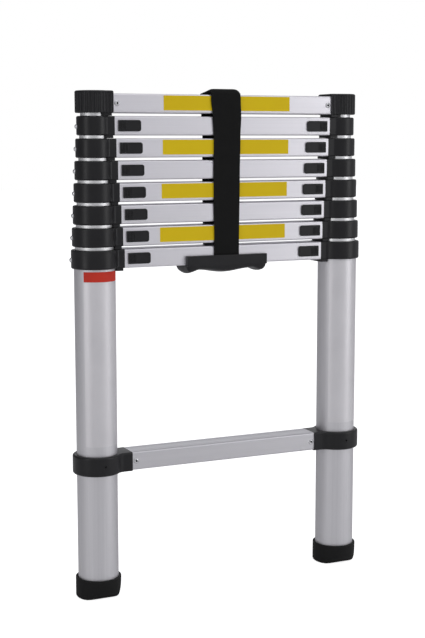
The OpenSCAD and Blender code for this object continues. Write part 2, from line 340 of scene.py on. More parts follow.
    @staticmethod
    def join(name: str, parts: Sequence[Piece]) -> Piece:
        """Makes several pieces one.

        Args:
            name: The name of the whole.
            parts: The pieces.

        Returns:
            The whole.
        """
        Bench.take(parts[0])
        for part in parts:
            part.select_set(True)
        bpy.ops.object.join()
        return Bench.settle(bpy.context.object, name)

    @staticmethod
    def copy(piece: Piece, name: str, shift: Sequence[float], mirrored: bool = False) -> Piece:
        """Copies a piece to another place, with a mesh of its own.

        Args:
            piece: The piece to copy.
            name: The copy's name.
            shift: How far the copy is moved.
            mirrored: Whether the moved copy is then mirrored to the other stile.

        Returns:
            The copy.
        """
        Bench.take(piece)
        bpy.ops.object.duplicate(linked=False)
        bpy.ops.transform.translate(value=shift)
        twin = Bench.settle(bpy.context.object, name)
        if mirrored:
            bpy.ops.transform.resize(value=(-1, 1, 1), center_override=(0, 0, 0))
            Bench.settle(twin, name)
            Bench.face_out(twin)
        return twin

    @staticmethod
    def swing(piece: Piece, name: str, degrees: float, centre: Sequence[float]) -> Piece:
        """Turns a piece counter-clockwise in plan about an upright line.

        Args:
            piece: The piece.
            name: Its name.
            degrees: How far it turns.
            centre: A point on the line.

        Returns:
            The same piece.
        """
        Bench.take(piece)
        bpy.ops.transform.rotate(value=-math.radians(degrees), orient_axis="Z", center_override=centre)
        return Bench.settle(piece, name)

    @staticmethod
    def mirror(piece: Piece, stiles: bool = False, faces: bool = False) -> Piece:
        """Adds a piece's mirror images to it.

        Args:
            piece: The piece, on the left stile or at the front.
            stiles: Whether it is mirrored to the other stile.
            faces: Whether it is mirrored from front to rear.

        Returns:
            The piece with its twins.
        """
        return Bench.modify(piece, "MIRROR", use_axis=(stiles, faces, False), use_mirror_merge=False)

    @staticmethod
    def face_out(piece: Piece) -> Piece:
        """Merges doubled points and turns all faces outward.

        Args:
            piece: The piece.

        Returns:
            The same piece.
        """
        Bench.open(piece, chosen=True)
        bpy.ops.mesh.remove_doubles(threshold=HAIR)
        bpy.ops.mesh.normals_make_consistent(inside=False)
        Bench.clear()
        return piece

    @staticmethod
    def plug(piece: Piece) -> Piece:
        """Fills the open ends of a piece and turns all faces outward.

        Args:
            piece: The piece.

        Returns:
            The same piece.
        """
        Bench.open(piece, chosen=True)
        bpy.ops.mesh.fill_holes(sides=0)
        return Bench.face_out(piece)

    @staticmethod
    def smooth(piece: Piece, degrees: float = 35.0) -> Piece:
        """Shades a piece smooth, with crisp edges above an angle and flat faces that stay flat.

        Args:
            piece: The piece.
            degrees: The angle between two faces above which their edge stays crisp.

        Returns:
            The same piece.
        """
        Bench.take(piece)
        bpy.ops.object.shade_smooth_by_angle(angle=math.radians(degrees))
        return Bench.modify(piece, "WEIGHTED_NORMAL", keep_sharp=True)


@dataclass
class Pen:
    """Draws one outline with lines and arcs, and makes a solid of it.

    Attributes:
        name: The name of what is drawn.
        plane: The plane it is drawn in.
        origin: Where the sheet's zero point is.
        spot: The point where the line starts, and then the point where the pen is.
        piece: What is drawn.
    """

    name: str
    plane: Plane
    origin: Vector
    spot: Spot
    piece: Piece = field(init=False)

    def __post_init__(self) -> None:
        """Puts the pen down."""
        Bench.clear()
        bpy.ops.mesh.primitive_plane_add(size=MM, location=self.place(self.spot))
        self.piece = bpy.context.object
        bpy.ops.object.mode_set(mode="EDIT")
        bpy.ops.mesh.select_mode(type="VERT")
        bpy.ops.mesh.select_all(action="SELECT")
        bpy.ops.mesh.merge(type="CENTER")

    @classmethod
    def tablet(
        cls, name: str, origin: Vector, low: Spot, high: Spot, corners: Sequence[tuple[float, int]]
    ) -> "Pen":
        """Draws an upright rectangle with round corners.

        Args:
            name: The name of what is drawn.
            origin: Where the sheet's zero point is.
            low: Where its lower left corner would be.
            high: Where its upper right corner would be.
            corners: Radius and number of chords at the lower right, upper right, upper left and lower left.

        Returns:
            The pen, with the outline closed.
        """
        (left, bottom), (right, top) = low, high
        turns = ((right, bottom, -1, 1), (right, top, -1, -1), (left, top, 1, -1), (left, bottom, 1, 1))
        pen = cls(name, Plane.FRONT, origin, (left + corners[-1][0], bottom))
        for (x, y, in_x, in_y), (radius, steps) in zip(turns, corners):
            centre = (x + in_x * radius, y + in_y * radius)
            level = in_x * in_y < 0
            pen.line((centre[0], y) if level else (x, centre[1])).arc(centre, 90, steps)
        return pen

    def place(self, spot: Spot) -> Vector:
        """The point in space of a spot on the sheet."""
        return self.origin + self.plane.right * spot[0] + self.plane.up * spot[1]

    def line(self, *spots: Spot) -> "Pen":
        """Draws straight lines from spot to spot.

        Args:
            *spots: The spots to go to.

        Returns:
            The pen.
        """
        for spot in spots:
            move = self.place(spot) - self.place(self.spot)
            bpy.ops.mesh.extrude_region_move(TRANSFORM_OT_translate={"value": move})
            self.spot = spot
        return self

    def arc(self, centre: Spot, degrees: float, steps: int) -> "Pen":
        """Draws an arc.

        Args:
            centre: The arc's centre.
            degrees: How far it turns, counter-clockwise if positive.
            steps: Number of chords.

        Returns:
            The pen.
        """
        turn = math.radians(degrees)
        bpy.ops.mesh.spin(steps=steps, angle=-turn, center=self.place(centre), axis=self.plane.out)
        x, y = self.spot[0] - centre[0], self.spot[1] - centre[1]
        self.spot = (
            centre[0] + x * math.cos(turn) - y * math.sin(turn),
            centre[1] + x * math.sin(turn) + y * math.cos(turn),
        )
        return self

    def solid(self, height: float) -> Piece:
        """Fills the closed outline and raises it out of the sheet.

        Args:
            height: How far it is raised.

        Returns:
            The solid.
        """
        bpy.ops.mesh.select_all(action="SELECT")
        bpy.ops.mesh.remove_doubles(threshold=HAIR)
        bpy.ops.mesh.edge_face_add()
        bpy.ops.mesh.extrude_region_move(TRANSFORM_OT_translate={"value": self.plane.out * height})
        return Bench.face_out(Bench.settle(self.piece, self.name))

    def turned(self, axis: Vector, steps: int) -> Piece:
        """Turns the outline once around a line through the sheet's zero point.

        Args:
            axis: The line's direction.
            steps: Number of flats around it.

        Returns:
            The turned piece.
        """
        bpy.ops.mesh.select_all(action="SELECT")
        bpy.ops.mesh.spin(steps=steps, angle=math.tau, center=self.origin, axis=axis)
        return Bench.face_out(Bench.settle(self.piece, self.name))


class Board:
    """A node tree, with short ways to add nodes and wire them."""

    # A mix node has sockets of several types under the same names, so those for colours go by number
    MIX_SHARE, MIX_LOW, MIX_HIGH, MIX_RESULT = 0, 6, 7, 2

    def __init__(self, tree: Group) -> None:
        """Starts from a tree.

        Args:
            tree: The tree of a material, group or world.
        """
        self.tree = tree

    @classmethod
    def blank(cls, holder: Union[bpy.types.Material, bpy.types.World]) -> "Board":
        """An empty board for a material or the world.

        Args:
            holder: The material or the world.

        Returns:
            The board.
        """
        holder.use_nodes = True
        holder.node_tree.nodes.clear()
        return cls(holder.node_tree)

    def add(self, kind: str, inputs: Optional[dict] = None, **settings: Any) -> bpy.types.Node:
        """Adds a node.

        Args:
            kind: The node's type.
            inputs: What each input takes, by name or number: a value or another node's output.
            **settings: The node's own settings.

        Returns:
            The node.
        """
        node = self.tree.nodes.new(kind)
        for name, value in settings.items():
            setattr(node, name, value)
        for name, value in (inputs or {}).items():
            if isinstance(value, Socket):
                self.tree.links.new(value, node.inputs[name])
            else:
                node.inputs[name].default_value = value
        return node

    def math(self, operation: str, *values: Any) -> Socket:
        """Adds a sum and gives its result."""
        return self.add("ShaderNodeMath", dict(enumerate(values)), operation=operation).outputs[0]

    def blend(self, first: Socket, second: Socket, share: float) -> Socket:
        """Adds two values up by shares.

        Args:
            first: The first value.
            second: The second value.
            share: The first value's share of 1.

        Returns:
            The blended value.
        """
        return self.math("ADD", self.math("MULTIPLY", first, share), self.math("MULTIPLY", second, 1 - share))

    def toward(self, way: Socket, direction: Union[Socket, Triple]) -> Socket:
        """How far one direction points along another."""
        node = self.add("ShaderNodeVectorMath", {0: way, 1: direction}, operation="DOT_PRODUCT")
        return node.outputs["Value"]

    def spread(self, value: Socket, start: Spot, end: Spot = UNIT) -> Socket:
        """Stretches a value from one range to another.

        Args:
            value: The value.
            start: The range it comes from.
            end: The range it goes to.

        Returns:
            The stretched value, held to the new range.
        """
        inputs = {"Value": value, "From Min": start[0], "From Max": start[1]}
        inputs |= {"To Min": end[0], "To Max": end[1]}
        return self.add("ShaderNodeMapRange", inputs).outputs["Result"]

    def tint(self, share: Socket, low: Any, high: Any) -> Socket:
        """Mixes two colours.

        Args:
            share: How much of the second colour there is.
            low: The first colour, or where it comes from.
            high: The second colour, or where it comes from.

        Returns:
            The mixed colour.
        """
        low, high = (value if isinstance(value, Socket) else (*value, 1.0) for value in (low, high))
        inputs = {self.MIX_SHARE: share, self.MIX_LOW: low, self.MIX_HIGH: high}
        return self.add("ShaderNodeMix", inputs, data_type="RGBA").outputs[self.MIX_RESULT]

    def noise(self, vector: Any, scale: Any, detail: float = 2.0) -> Socket:
        """Adds a noise pattern and gives its value."""
        inputs = {"Vector": vector, "Scale": scale, "Detail": detail}
        return self.add("ShaderNodeTexNoise", inputs).outputs[0]

    def bump(self, height: Socket, depth: float, strength: float) -> Socket:
        """Adds a bump and gives its normal.

        Args:
            height: The pattern of heights.
            depth: How deep the pattern is at most.
            strength: How strongly it shows.

        Returns:
            The normal.
        """
        inputs = {"Height": height, "Distance": depth, "Strength": strength}
        return self.add("ShaderNodeBump", inputs).outputs["Normal"]

    def effect(self, group: Group, inputs: dict) -> Any:
        """Places a shared effect and gives its outputs."""
        return self.add("ShaderNodeGroup", inputs, node_tree=group).outputs

    def place(self) -> Socket:
        """The place on the piece, in its own metres."""
        return self.add("ShaderNodeTexCoord").outputs["Object"]

    def shader(self, inputs: dict) -> None:
        """Adds the surface shader and ends the material with it."""
        surface = self.add("ShaderNodeBsdfPrincipled", inputs)
        self.add("ShaderNodeOutputMaterial", {"Surface": surface.outputs[0]})


def built_once(build: Callable[[], Group]) -> Callable[[], Group]:
    """Makes a node group's maker give the group that it has made before.

    Args:
        build: The maker, which has the group's name.

    Returns:
        A maker that looks for the group first.
    """

    def look_first() -> Group:
        """Gives the group, and builds it the first time."""
        return bpy.data.node_groups.get(build.__name__) or build()

    return look_first


class Effects:
    """Effects that several finishes share, each a node group that is built once."""

    # How coarse bands and mottle are beside the fine pattern that they go with, and how fine dust is
    BAND_SCALE = 0.18
    MOTTLE_SCALE = 0.025
    DUST_SCALE = 90.0

    @staticmethod
    def group(name: str, inputs: Sequence[tuple], outputs: Sequence[str]) -> tuple[Board, dict, dict]:
        """Starts a node group.

        Args:
            name: The group's name.
            inputs: Name, socket type and usual value of each input.
            outputs: Names of the values that it puts out.

        Returns:
            The group's board, its inputs by name and the sockets that take its outputs.
        """
        tree = bpy.data.node_groups.new(name, "ShaderNodeTree")
        for label, kind, usual in inputs:
            socket = tree.interface.new_socket(name=label, in_out="INPUT", socket_type=kind)
            if usual is not None:
                socket.default_value = usual
        for label in outputs:
            tree.interface.new_socket(name=label, in_out="OUTPUT", socket_type="NodeSocketFloat")
        board = Board(tree)
        come, go = board.add("NodeGroupInput").outputs, board.add("NodeGroupOutput").inputs
        return board, {label: come[label] for label, _, _ in inputs}, {label: go[label] for label in outputs}

    @staticmethod
    @built_once
    def drawn_lines() -> Group:
        """Fine lines along a drawn or extruded metal, on coordinates that are squeezed along it.

        Returns:
            The group.
        """
        wanted = (("Vector", "NodeSocketVector", None), ("Fineness", "NodeSocketFloat", 400.0))
        board, come, go = Effects.group("drawn_lines", wanted, ("Lines", "Bands"))
        fine = board.noise(come["Vector"], come["Fineness"], detail=4.0)
        coarse = board.math("MULTIPLY", come["Fineness"], Effects.BAND_SCALE)
        broad = board.noise(come["Vector"], coarse, detail=1.0)
        board.tree.links.new(board.spread(fine, CONTRAST), go["Lines"])
        board.tree.links.new(board.spread(broad, (0.35, 0.65)), go["Bands"])
        return board.tree

    @staticmethod
    @built_once
    def edge_wear() -> Group:
        """Edges that hands and handling have rubbed, broken up by a noise.

        Returns:
            The group.
        """
        wanted = (
            ("Vector", "NodeSocketVector", None),
            ("Width", "NodeSocketFloat", 0.6 * MM),
            ("Breakup", "NodeSocketFloat", 220.0),
        )
        board, come, go = Effects.group("edge_wear", wanted, ("Wear",))
        rounded = board.add("ShaderNodeBevel", {"Radius": come["Width"]}, samples=4).outputs[0]
        plain = board.add("ShaderNodeNewGeometry").outputs["Normal"]
        edge = board.spread(board.toward(rounded, plain), (0.995, 0.90))
        rubbed = board.spread(board.noise(come["Vector"], come["Breakup"], detail=3.0), (0.42, 0.62))
        board.tree.links.new(board.math("MULTIPLY", edge, rubbed), go["Wear"])
        return board.tree

    @staticmethod
    @built_once
    def moulded_grain() -> Group:
        """The fine grain of a moulded surface, with a broad mottle.

        Returns:
            The group.
        """
        wanted = (("Vector", "NodeSocketVector", None), ("Grain", "NodeSocketFloat", 1600.0))
        board, come, go = Effects.group("moulded_grain", wanted, ("Height", "Mottle"))
        board.tree.links.new(board.noise(come["Vector"], come["Grain"]), go["Height"])
        coarse = board.math("MULTIPLY", come["Grain"], Effects.MOTTLE_SCALE)
        mottle = board.noise(come["Vector"], coarse, detail=3.0)
        board.tree.links.new(board.spread(mottle, CONTRAST), go["Mottle"])
        return board.tree

    @staticmethod
    @built_once
    def settled_dust() -> Group:
        """Dust on what faces up.

        Returns:
            The group.
        """
        wanted = (("Vector", "NodeSocketVector", None), ("Amount", "NodeSocketFloat", 0.1))
        board, come, go = Effects.group("settled_dust", wanted, ("Dust",))
        normal = board.add("ShaderNodeNewGeometry").outputs["Normal"]
        level = board.add("ShaderNodeSeparateXYZ", {"Vector": normal}).outputs["Z"]
        flat = board.spread(level, (0.3, 1.0))
        cloud = board.noise(come["Vector"], Effects.DUST_SCALE, detail=4.0)
        patches = board.spread(cloud, (0.35, 0.75), (0.2, 1.0))
        dust = board.math("MULTIPLY", board.math("MULTIPLY", flat, patches), come["Amount"])
        board.tree.links.new(dust, go["Dust"])
        return board.tree


@dataclass(frozen=True)
class Finish:
    """A surface finish.

    Attributes:
        name: The finish's name.
        slot: The record's slot, if it has one.
    """

    name: str
    slot: Optional[Slot]

    def material(self) -> bpy.types.Material:
        """The finish as a material, which is made once.

        Returns:
            The material.
        """
        made = bpy.data.materials.get(self.name)
        if made is None:
            made = bpy.data.materials.new(self.name)
            self.paint(Board.blank(made))
        return made

    def paint(self, board: Board) -> None:
        """Wires the material on its empty board."""
        raise NotImplementedError


@dataclass(frozen=True)
class Metal(Finish):
    """A drawn, extruded or turned metal.

    Attributes:
        colour: The metal's colour.
        shade: The colour in its darker lines.
        roughness: Roughness in the smooth and in the dull lines.
        squeeze: How the pattern is squeezed, so that lines run along the metal.
        fineness: How fine the lines are.
        depth: How deep the lines are.
        relief: How strongly their depth shows.
        line_share: How much the fine lines count beside the broad bands.
        dust: How much dust lies on it.
        dust_colour: The dust's colour.
    """

    colour: Colour
    shade: Colour
    roughness: Spot
    squeeze: Triple
    fineness: float = 420.0
    depth: float = 0.02 * MM
    relief: float = 0.35
    line_share: float = 0.45
    dust: float = 0.05
    dust_colour: Colour = (0.45, 0.44, 0.42)

    def paint(self, board: Board) -> None:
        """Wires the material on its empty board.

        Args:
            board: The material's board.
        """
        place = board.place()
        squeezed = board.add("ShaderNodeMapping", {"Vector": place, "Scale": self.squeeze}).outputs[0]
        drawn = board.effect(Effects.drawn_lines(), {"Vector": squeezed, "Fineness": self.fineness})
        dust = board.effect(Effects.settled_dust(), {"Vector": place, "Amount": self.dust})["Dust"]
        share = board.blend(drawn["Lines"], drawn["Bands"], self.line_share)
        colour = board.tint(share, self.shade, self.colour)
        smooth, dull = self.roughness
        board.shader({
            "Base Color": board.tint(dust, colour, self.dust_colour),
            "Metallic": 1.0,
            "Roughness": board.spread(share, UNIT, (dull, smooth)),
            "Normal": board.bump(drawn["Lines"], self.depth, self.relief),
        })


@dataclass(frozen=True)
class Moulded(Finish):
    """A moulded plastic or rubber.

    Attributes:
        colour: Its colour.
        worn: The colour of its rubbed edges.
        roughness: Roughness in its smooth and in its dull patches.
        grain: How fine its grain is.
        depth: How deep the grain is.
        dust: How much dust lies on it.
        shine: How strongly it mirrors.
        relief: How strongly the grain shows.
        mottle: How bright its darker patches are beside its colour.
        dust_dulling: How much dust adds to the roughness.
        dust_colour: The dust's colour.
    """

    colour: Colour
    worn: Colour
    roughness: Spot
    grain: float = 1600.0
    depth: float = 0.05 * MM
    dust: float = 0.08
    shine: float = 0.5
    relief: float = 0.3
    mottle: float = 0.8
    dust_dulling: float = 0.8
    dust_colour: Colour = (0.32, 0.31, 0.29)

    def paint(self, board: Board) -> None:
        """Wires the material on its empty board.

        Args:
            board: The material's board.
        """
        place = board.place()
        grain = board.effect(Effects.moulded_grain(), {"Vector": place, "Grain": self.grain})
        wear = board.effect(Effects.edge_wear(), {"Vector": place})["Wear"]
        dust = board.effect(Effects.settled_dust(), {"Vector": place, "Amount": self.dust})["Dust"]
        darker = tuple(self.mottle * part for part in self.colour)
        colour = board.tint(grain["Mottle"], darker, self.colour)
        colour = board.tint(wear, colour, self.worn)
        dull = board.spread(grain["Mottle"], UNIT, self.roughness)
        board.shader({
            "Base Color": board.tint(dust, colour, self.dust_colour),
            "Roughness": board.math("ADD", dull, board.math("MULTIPLY", dust, self.dust_dulling)),
            "Specular IOR Level": self.shine,
            "Normal": board.bump(grain["Height"], self.depth, self.relief),
        })


@dataclass(frozen=True)
class Film(Finish):
    """A plain stuck-on film.

    Attributes:
        colour: Its colour.
        faded: Its colour where it has faded.
        roughness: Roughness in its glossy and in its dull patches.
        metallic: How much of a metal it is.
        grain: How fine its grain is.
        depth: How deep the grain is.
        relief: How strongly the grain shows.
        shine: How strongly it mirrors.
        edge: Width of its rubbed edge.
        edge_white: How much white the rubbed edge has in it.
    """

    colour: Colour
    faded: Colour
    roughness: Spot
    metallic: float = 0.0
    grain: float = 900.0
    depth: float = 0.03 * MM
    relief: float = 0.15
    shine: float = 0.22
    edge: float = 0.3 * MM
    edge_white: float = 0.6

    def paint(self, board: Board) -> None:
        """Wires the material on its empty board.

        Args:
            board: The material's board.
        """
        place = board.place()
        grain = board.effect(Effects.moulded_grain(), {"Vector": place, "Grain": self.grain})
        wear = board.effect(Effects.edge_wear(), {"Vector": place, "Width": self.edge})["Wear"]
        colour = board.tint(grain["Mottle"], self.colour, self.faded)
        rubbed = tuple(self.edge_white + (1 - self.edge_white) * part for part in self.faded)
        board.shader({
            "Base Color": board.tint(wear, colour, rubbed),
            "Metallic": self.metallic,
            "Roughness": board.spread(grain["Mottle"], UNIT, self.roughness),
            "Specular IOR Level": self.shine,
            "Normal": board.bump(grain["Height"], self.depth, self.relief),
        })


@dataclass(frozen=True)
class Webbing(Finish):
    """A woven band, whose weave follows its own map in metres.

    Attributes:
        colour: Colour of the raised yarns.
        shade: Colour between the yarns, darker there as painted shade in the weave's hollows.
        size: Width and length of the band's map.
        pitch: Distance of the yarns across and along the band.
        cross_share: How much the crossings count beside the ribs along the band.
        roughness: Roughness between the yarns and on them.
        lint: How fine the patches of lint are.
        shine: How strongly it mirrors.
        fuzz: How much fuzz it has.
        fuzz_roughness: How dull the fuzz is.
        depth: How deep the weave is.
        relief: How strongly the weave shows.
    """

    colour: Colour
    shade: Colour
    size: Spot
    pitch: Spot = (1.3 * MM, 1.7 * MM)
    cross_share: float = 0.7
    roughness: Spot = (0.95, 0.75)
    lint: float = 60.0
    shine: float = 0.16
    fuzz: float = 0.06
    fuzz_roughness: float = 0.4
    depth: float = 0.35 * MM
    relief: float = 0.7

    def paint(self, board: Board) -> None:
        """Wires the material on its empty board.

        Args:
            board: The material's board.
        """
        flat = board.add("ShaderNodeUVMap").outputs[0]
        scale = (math.tau * self.size[0] / self.pitch[0], math.tau * self.size[1] / self.pitch[1], 1.0)
        yarns = board.add("ShaderNodeMapping", {"Vector": flat, "Scale": scale}).outputs[0]
        parts = board.add("ShaderNodeSeparateXYZ", {"Vector": yarns}).outputs
        warp, weft = board.math("SINE", parts["X"]), board.math("SINE", parts["Y"])
        wave = (-1.0, 1.0)
        over = board.spread(board.math("MULTIPLY", warp, weft), wave)
        height = board.blend(over, board.spread(warp, wave), self.cross_share)
        lint = board.spread(board.noise(board.place(), self.lint, detail=4.0), CONTRAST, (0.75, 1.0))
        board.shader({
            # Raised yarns get the lighter colour and the hollows between them the darker one: painted shade
            # from the weave's height, broken up by real lint patches
            "Base Color": board.tint(board.math("MULTIPLY", height, lint), self.shade, self.colour),
            "Roughness": board.spread(height, UNIT, self.roughness),
            "Specular IOR Level": self.shine,
            "Sheen Weight": self.fuzz,
            "Sheen Roughness": self.fuzz_roughness,
            "Normal": board.bump(height, self.depth, self.relief),
        })


ALONG_X: Triple = (0.012, 1.0, 1.0)
ALONG_Z: Triple = (1.0, 1.0, 0.012)
EVEN: Triple = (1.0, 1.0, 1.0)

TUBE_METAL = Metal(
    "satin_tube", Slot.TUBE, (0.735, 0.725, 0.75), (0.675, 0.665, 0.69), (0.50, 0.58), ALONG_Z
)
INNER_TUBE_METAL = Metal(
    "bright_tube", Slot.TUBE, (0.95, 0.95, 0.96), (0.90, 0.90, 0.91), (0.42, 0.50), ALONG_Z
)
RUNG_METAL = Metal(
    "satin_rung", Slot.RUNG, (0.83, 0.815, 0.855), (0.785, 0.77, 0.81), (0.36, 0.44), ALONG_X
)
# The fixed rung's metal is the rung metal made darker: its lower colour is painted shade for the light that
# falls off toward the floor
FIXED_RUNG_PAINTED_SHADE_METAL = Metal(
    "satin_fixed_rung_painted_shade", Slot.RUNG, (0.71, 0.70, 0.73), (0.67, 0.66, 0.69), (0.36, 0.44), ALONG_X
)
RIVET_METAL = Metal(
    "bright_rivet", Slot.RIVET, (0.70, 0.70, 0.72), (0.58, 0.58, 0.60), (0.20, 0.28), EVEN, fineness=700.0
)
SPRING_STEEL = Metal(
    "drawn_spring_wire", Slot.SPRING, (0.55, 0.55, 0.57), (0.42, 0.42, 0.44), (0.25, 0.38), EVEN,
    fineness=600.0,
)
BLACK_PLASTIC = Moulded(
    "moulded_black", Slot.PLASTIC, (0.0078, 0.0076, 0.0092), (0.027, 0.027, 0.029), (0.33, 0.42), shine=0.37
)
BLACK_RUBBER = Moulded(
    "foot_rubber_black", Slot.RUBBER, (0.009, 0.009, 0.009), (0.028, 0.028, 0.027), (0.58, 0.72),
    grain=900.0, depth=0.1 * MM, shine=0.2,
)
WHITE_NYLON = Moulded("plain_nylon", Slot.NYLON, (0.80, 0.80, 0.77), (0.88, 0.88, 0.86), (0.40, 0.55))
YELLOW_FILM = Film("yellow_strip", None, (0.74, 0.52, 0.002), (0.76, 0.55, 0.004), (0.50, 0.62))
RED_FILM = Film("red_strip", None, (0.58, 0.030, 0.015), (0.62, 0.040, 0.022), (0.50, 0.62))
PALE_FILM = Film("pale_strip", None, (0.72, 0.705, 0.73), (0.76, 0.745, 0.77), (0.42, 0.50), metallic=0.6)


def hand_in(piece: Piece, finish: Finish, body: str, *nodes: str) -> Piece:
    """Gives a finished piece its finish and body, and hides the CAD nodes that it stands for.

    Args:
        piece: The piece.
        finish: Its finish.
        body: The CAD body that it rides on.
        *nodes: The CAD nodes that it stands for.

    Returns:
        The same piece.
    """
    piece.data.materials.clear()
    piece.data.materials.append(finish.material())
    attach(piece, body)
    if nodes:
        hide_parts(*nodes)
    LOG.info("%s on %s: %d faces", piece.name, body, len(piece.data.polygons))
    return piece


@dataclass(frozen=True)
class Section:
    """A section as the CAD model has it.

    Attributes:
        number: Its number.
        tube: Outer radius of its tubes.
        low: Underside of its rung.
        top: Top of its rung.
        reach: Distance from the stile's axis to the rung's end.
        half_depth: Half the rung's depth.
    """

    number: int
    tube: float
    low: float
    top: float
    reach: float
    half_depth: float

    @classmethod
    def read(cls, number: int) -> "Section":
        """Reads a section from the frame, where 0 is the fixed rung on the lowest tubes.

        Args:
            number: The section's number.

        Returns:
            The section.
        """
        low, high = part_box(f"rung_{number}" if number else "bottom_rung")
        points = frame["nodes"][f"stile_tubes_{max(number, 1)}"].data.vertices
        radius = max(math.hypot(abs(point.co.x) - HALF_SPAN, point.co.y) for point in points)
        return cls(number, radius, low.z, high.z, HALF_SPAN - high.x, high.y)

    @property
    def middle(self) -> float:
        """Height of the rung's middle."""
        return (self.low + self.top) / 2


@dataclass
class Sleeve:
    """The blank of a sleeve around a stile tube, with a neck toward the rung.

    Attributes:
        name: The piece's name.
        barrel: Outer radius around the tube.
        reach: Distance from the stile's axis to the neck's end.
        half_depth: Half the neck's depth.
        low: Its underside.
        top: Its top.
        rim: Rounding of its upper and lower edges.
        blend: Radius of the blend between barrel and neck.
    """

    name: str
    barrel: float
    reach: float
    half_depth: float
    low: float
    top: float
    rim: float
    blend: float = 6.0 * MM
    blend_steps: int = 6
    barrel_steps: int = 64
    rim_steps: int = 4

    def blank(self) -> Piece:
        """The sleeve, still without its bore.

        Returns:
            The blank.
        """
        side = self.half_depth + self.blend
        bend_x = math.sqrt((self.barrel + self.blend) ** 2 - side**2)
        turn = math.degrees(math.atan2(side, bend_x))
        pen = Pen(self.name, Plane.PLAN, Vector((-HALF_SPAN, 0, self.low)), (self.reach, -self.half_depth))
        pen.line((self.reach, self.half_depth), (bend_x, self.half_depth))
        pen.arc((bend_x, side), turn - 90, self.blend_steps)
        pen.arc((0, 0), 360 - 2 * turn, self.barrel_steps)
        pen.arc((bend_x, -side), turn - 90, self.blend_steps).line((self.reach, -self.half_depth))
        return Bench.soften(pen.solid(self.top - self.low), self.rim, self.rim_steps, self.on_rim)

    def on_rim(self, a: Vector, b: Vector) -> bool:
        """Whether an edge lies on the upper or lower rim, away from the neck's end.

        Args:
            a: One end of the edge.
            b: Its other end.

        Returns:
            Whether it does.
        """
        end = self.reach - HALF_SPAN - HAIR
        level = any(abs(a.z - z) < HAIR and abs(b.z - z) < HAIR for z in (self.low, self.top))
        return level and not (a.x > end and b.x > end)


@dataclass(frozen=True)
class RungEnd:
    """What a moulding has at the end of its rung: a tab under its neck and a tongue inside the rung.

    Attributes:
        section: The rung's section.
    """

    section: Section
    wall: float = 1.85 * MM
    tongue_length: float = 10.0 * MM
    tab_back: float = 1.4 * MM
    tab_start: float = 2.5 * MM

    @property
    def x(self) -> float:
        """Place of the rung's left end."""
        return self.section.reach - HALF_SPAN

    @property
    def low(self) -> float:
        """The floor inside the rung."""
        return self.section.low + self.wall

    @property
    def high(self) -> float:
        """The ceiling inside the rung."""
        return self.section.top - self.wall

    def filling(self, name: str, start: float, end: float, top: float) -> Piece:
        """A block on the rung's floor that fills its inside from front to rear.

        Args:
            name: The block's name.
            start: Place of its left face.
            end: Place of its right face.
            top: Its top.

        Returns:
            The block.
        """
        half = self.section.half_depth - self.wall
        return Bench.block(name, (start, -half, self.low), (end, half, top))

    def tongue(self) -> Piece:
        """The tongue that plugs into the rung."""
        return self.filling("tongue", self.x - OVER, self.x + self.tongue_length, self.high)

    def tab(self, foot: float) -> Piece:
        """The tab between tube and rung, from its foot up into the neck.

        Args:
            foot: Underside of the tab.

        Returns:
            The tab.
        """
        depth = self.section.half_depth - self.tab_back
        start = math.sqrt(max(self.section.tube**2 - depth**2, 0)) + self.tab_start - HALF_SPAN
        end = (self.x - self.tab_back, depth, self.section.low + OVER)
        return Bench.block("tab", (start, -depth, foot), end)


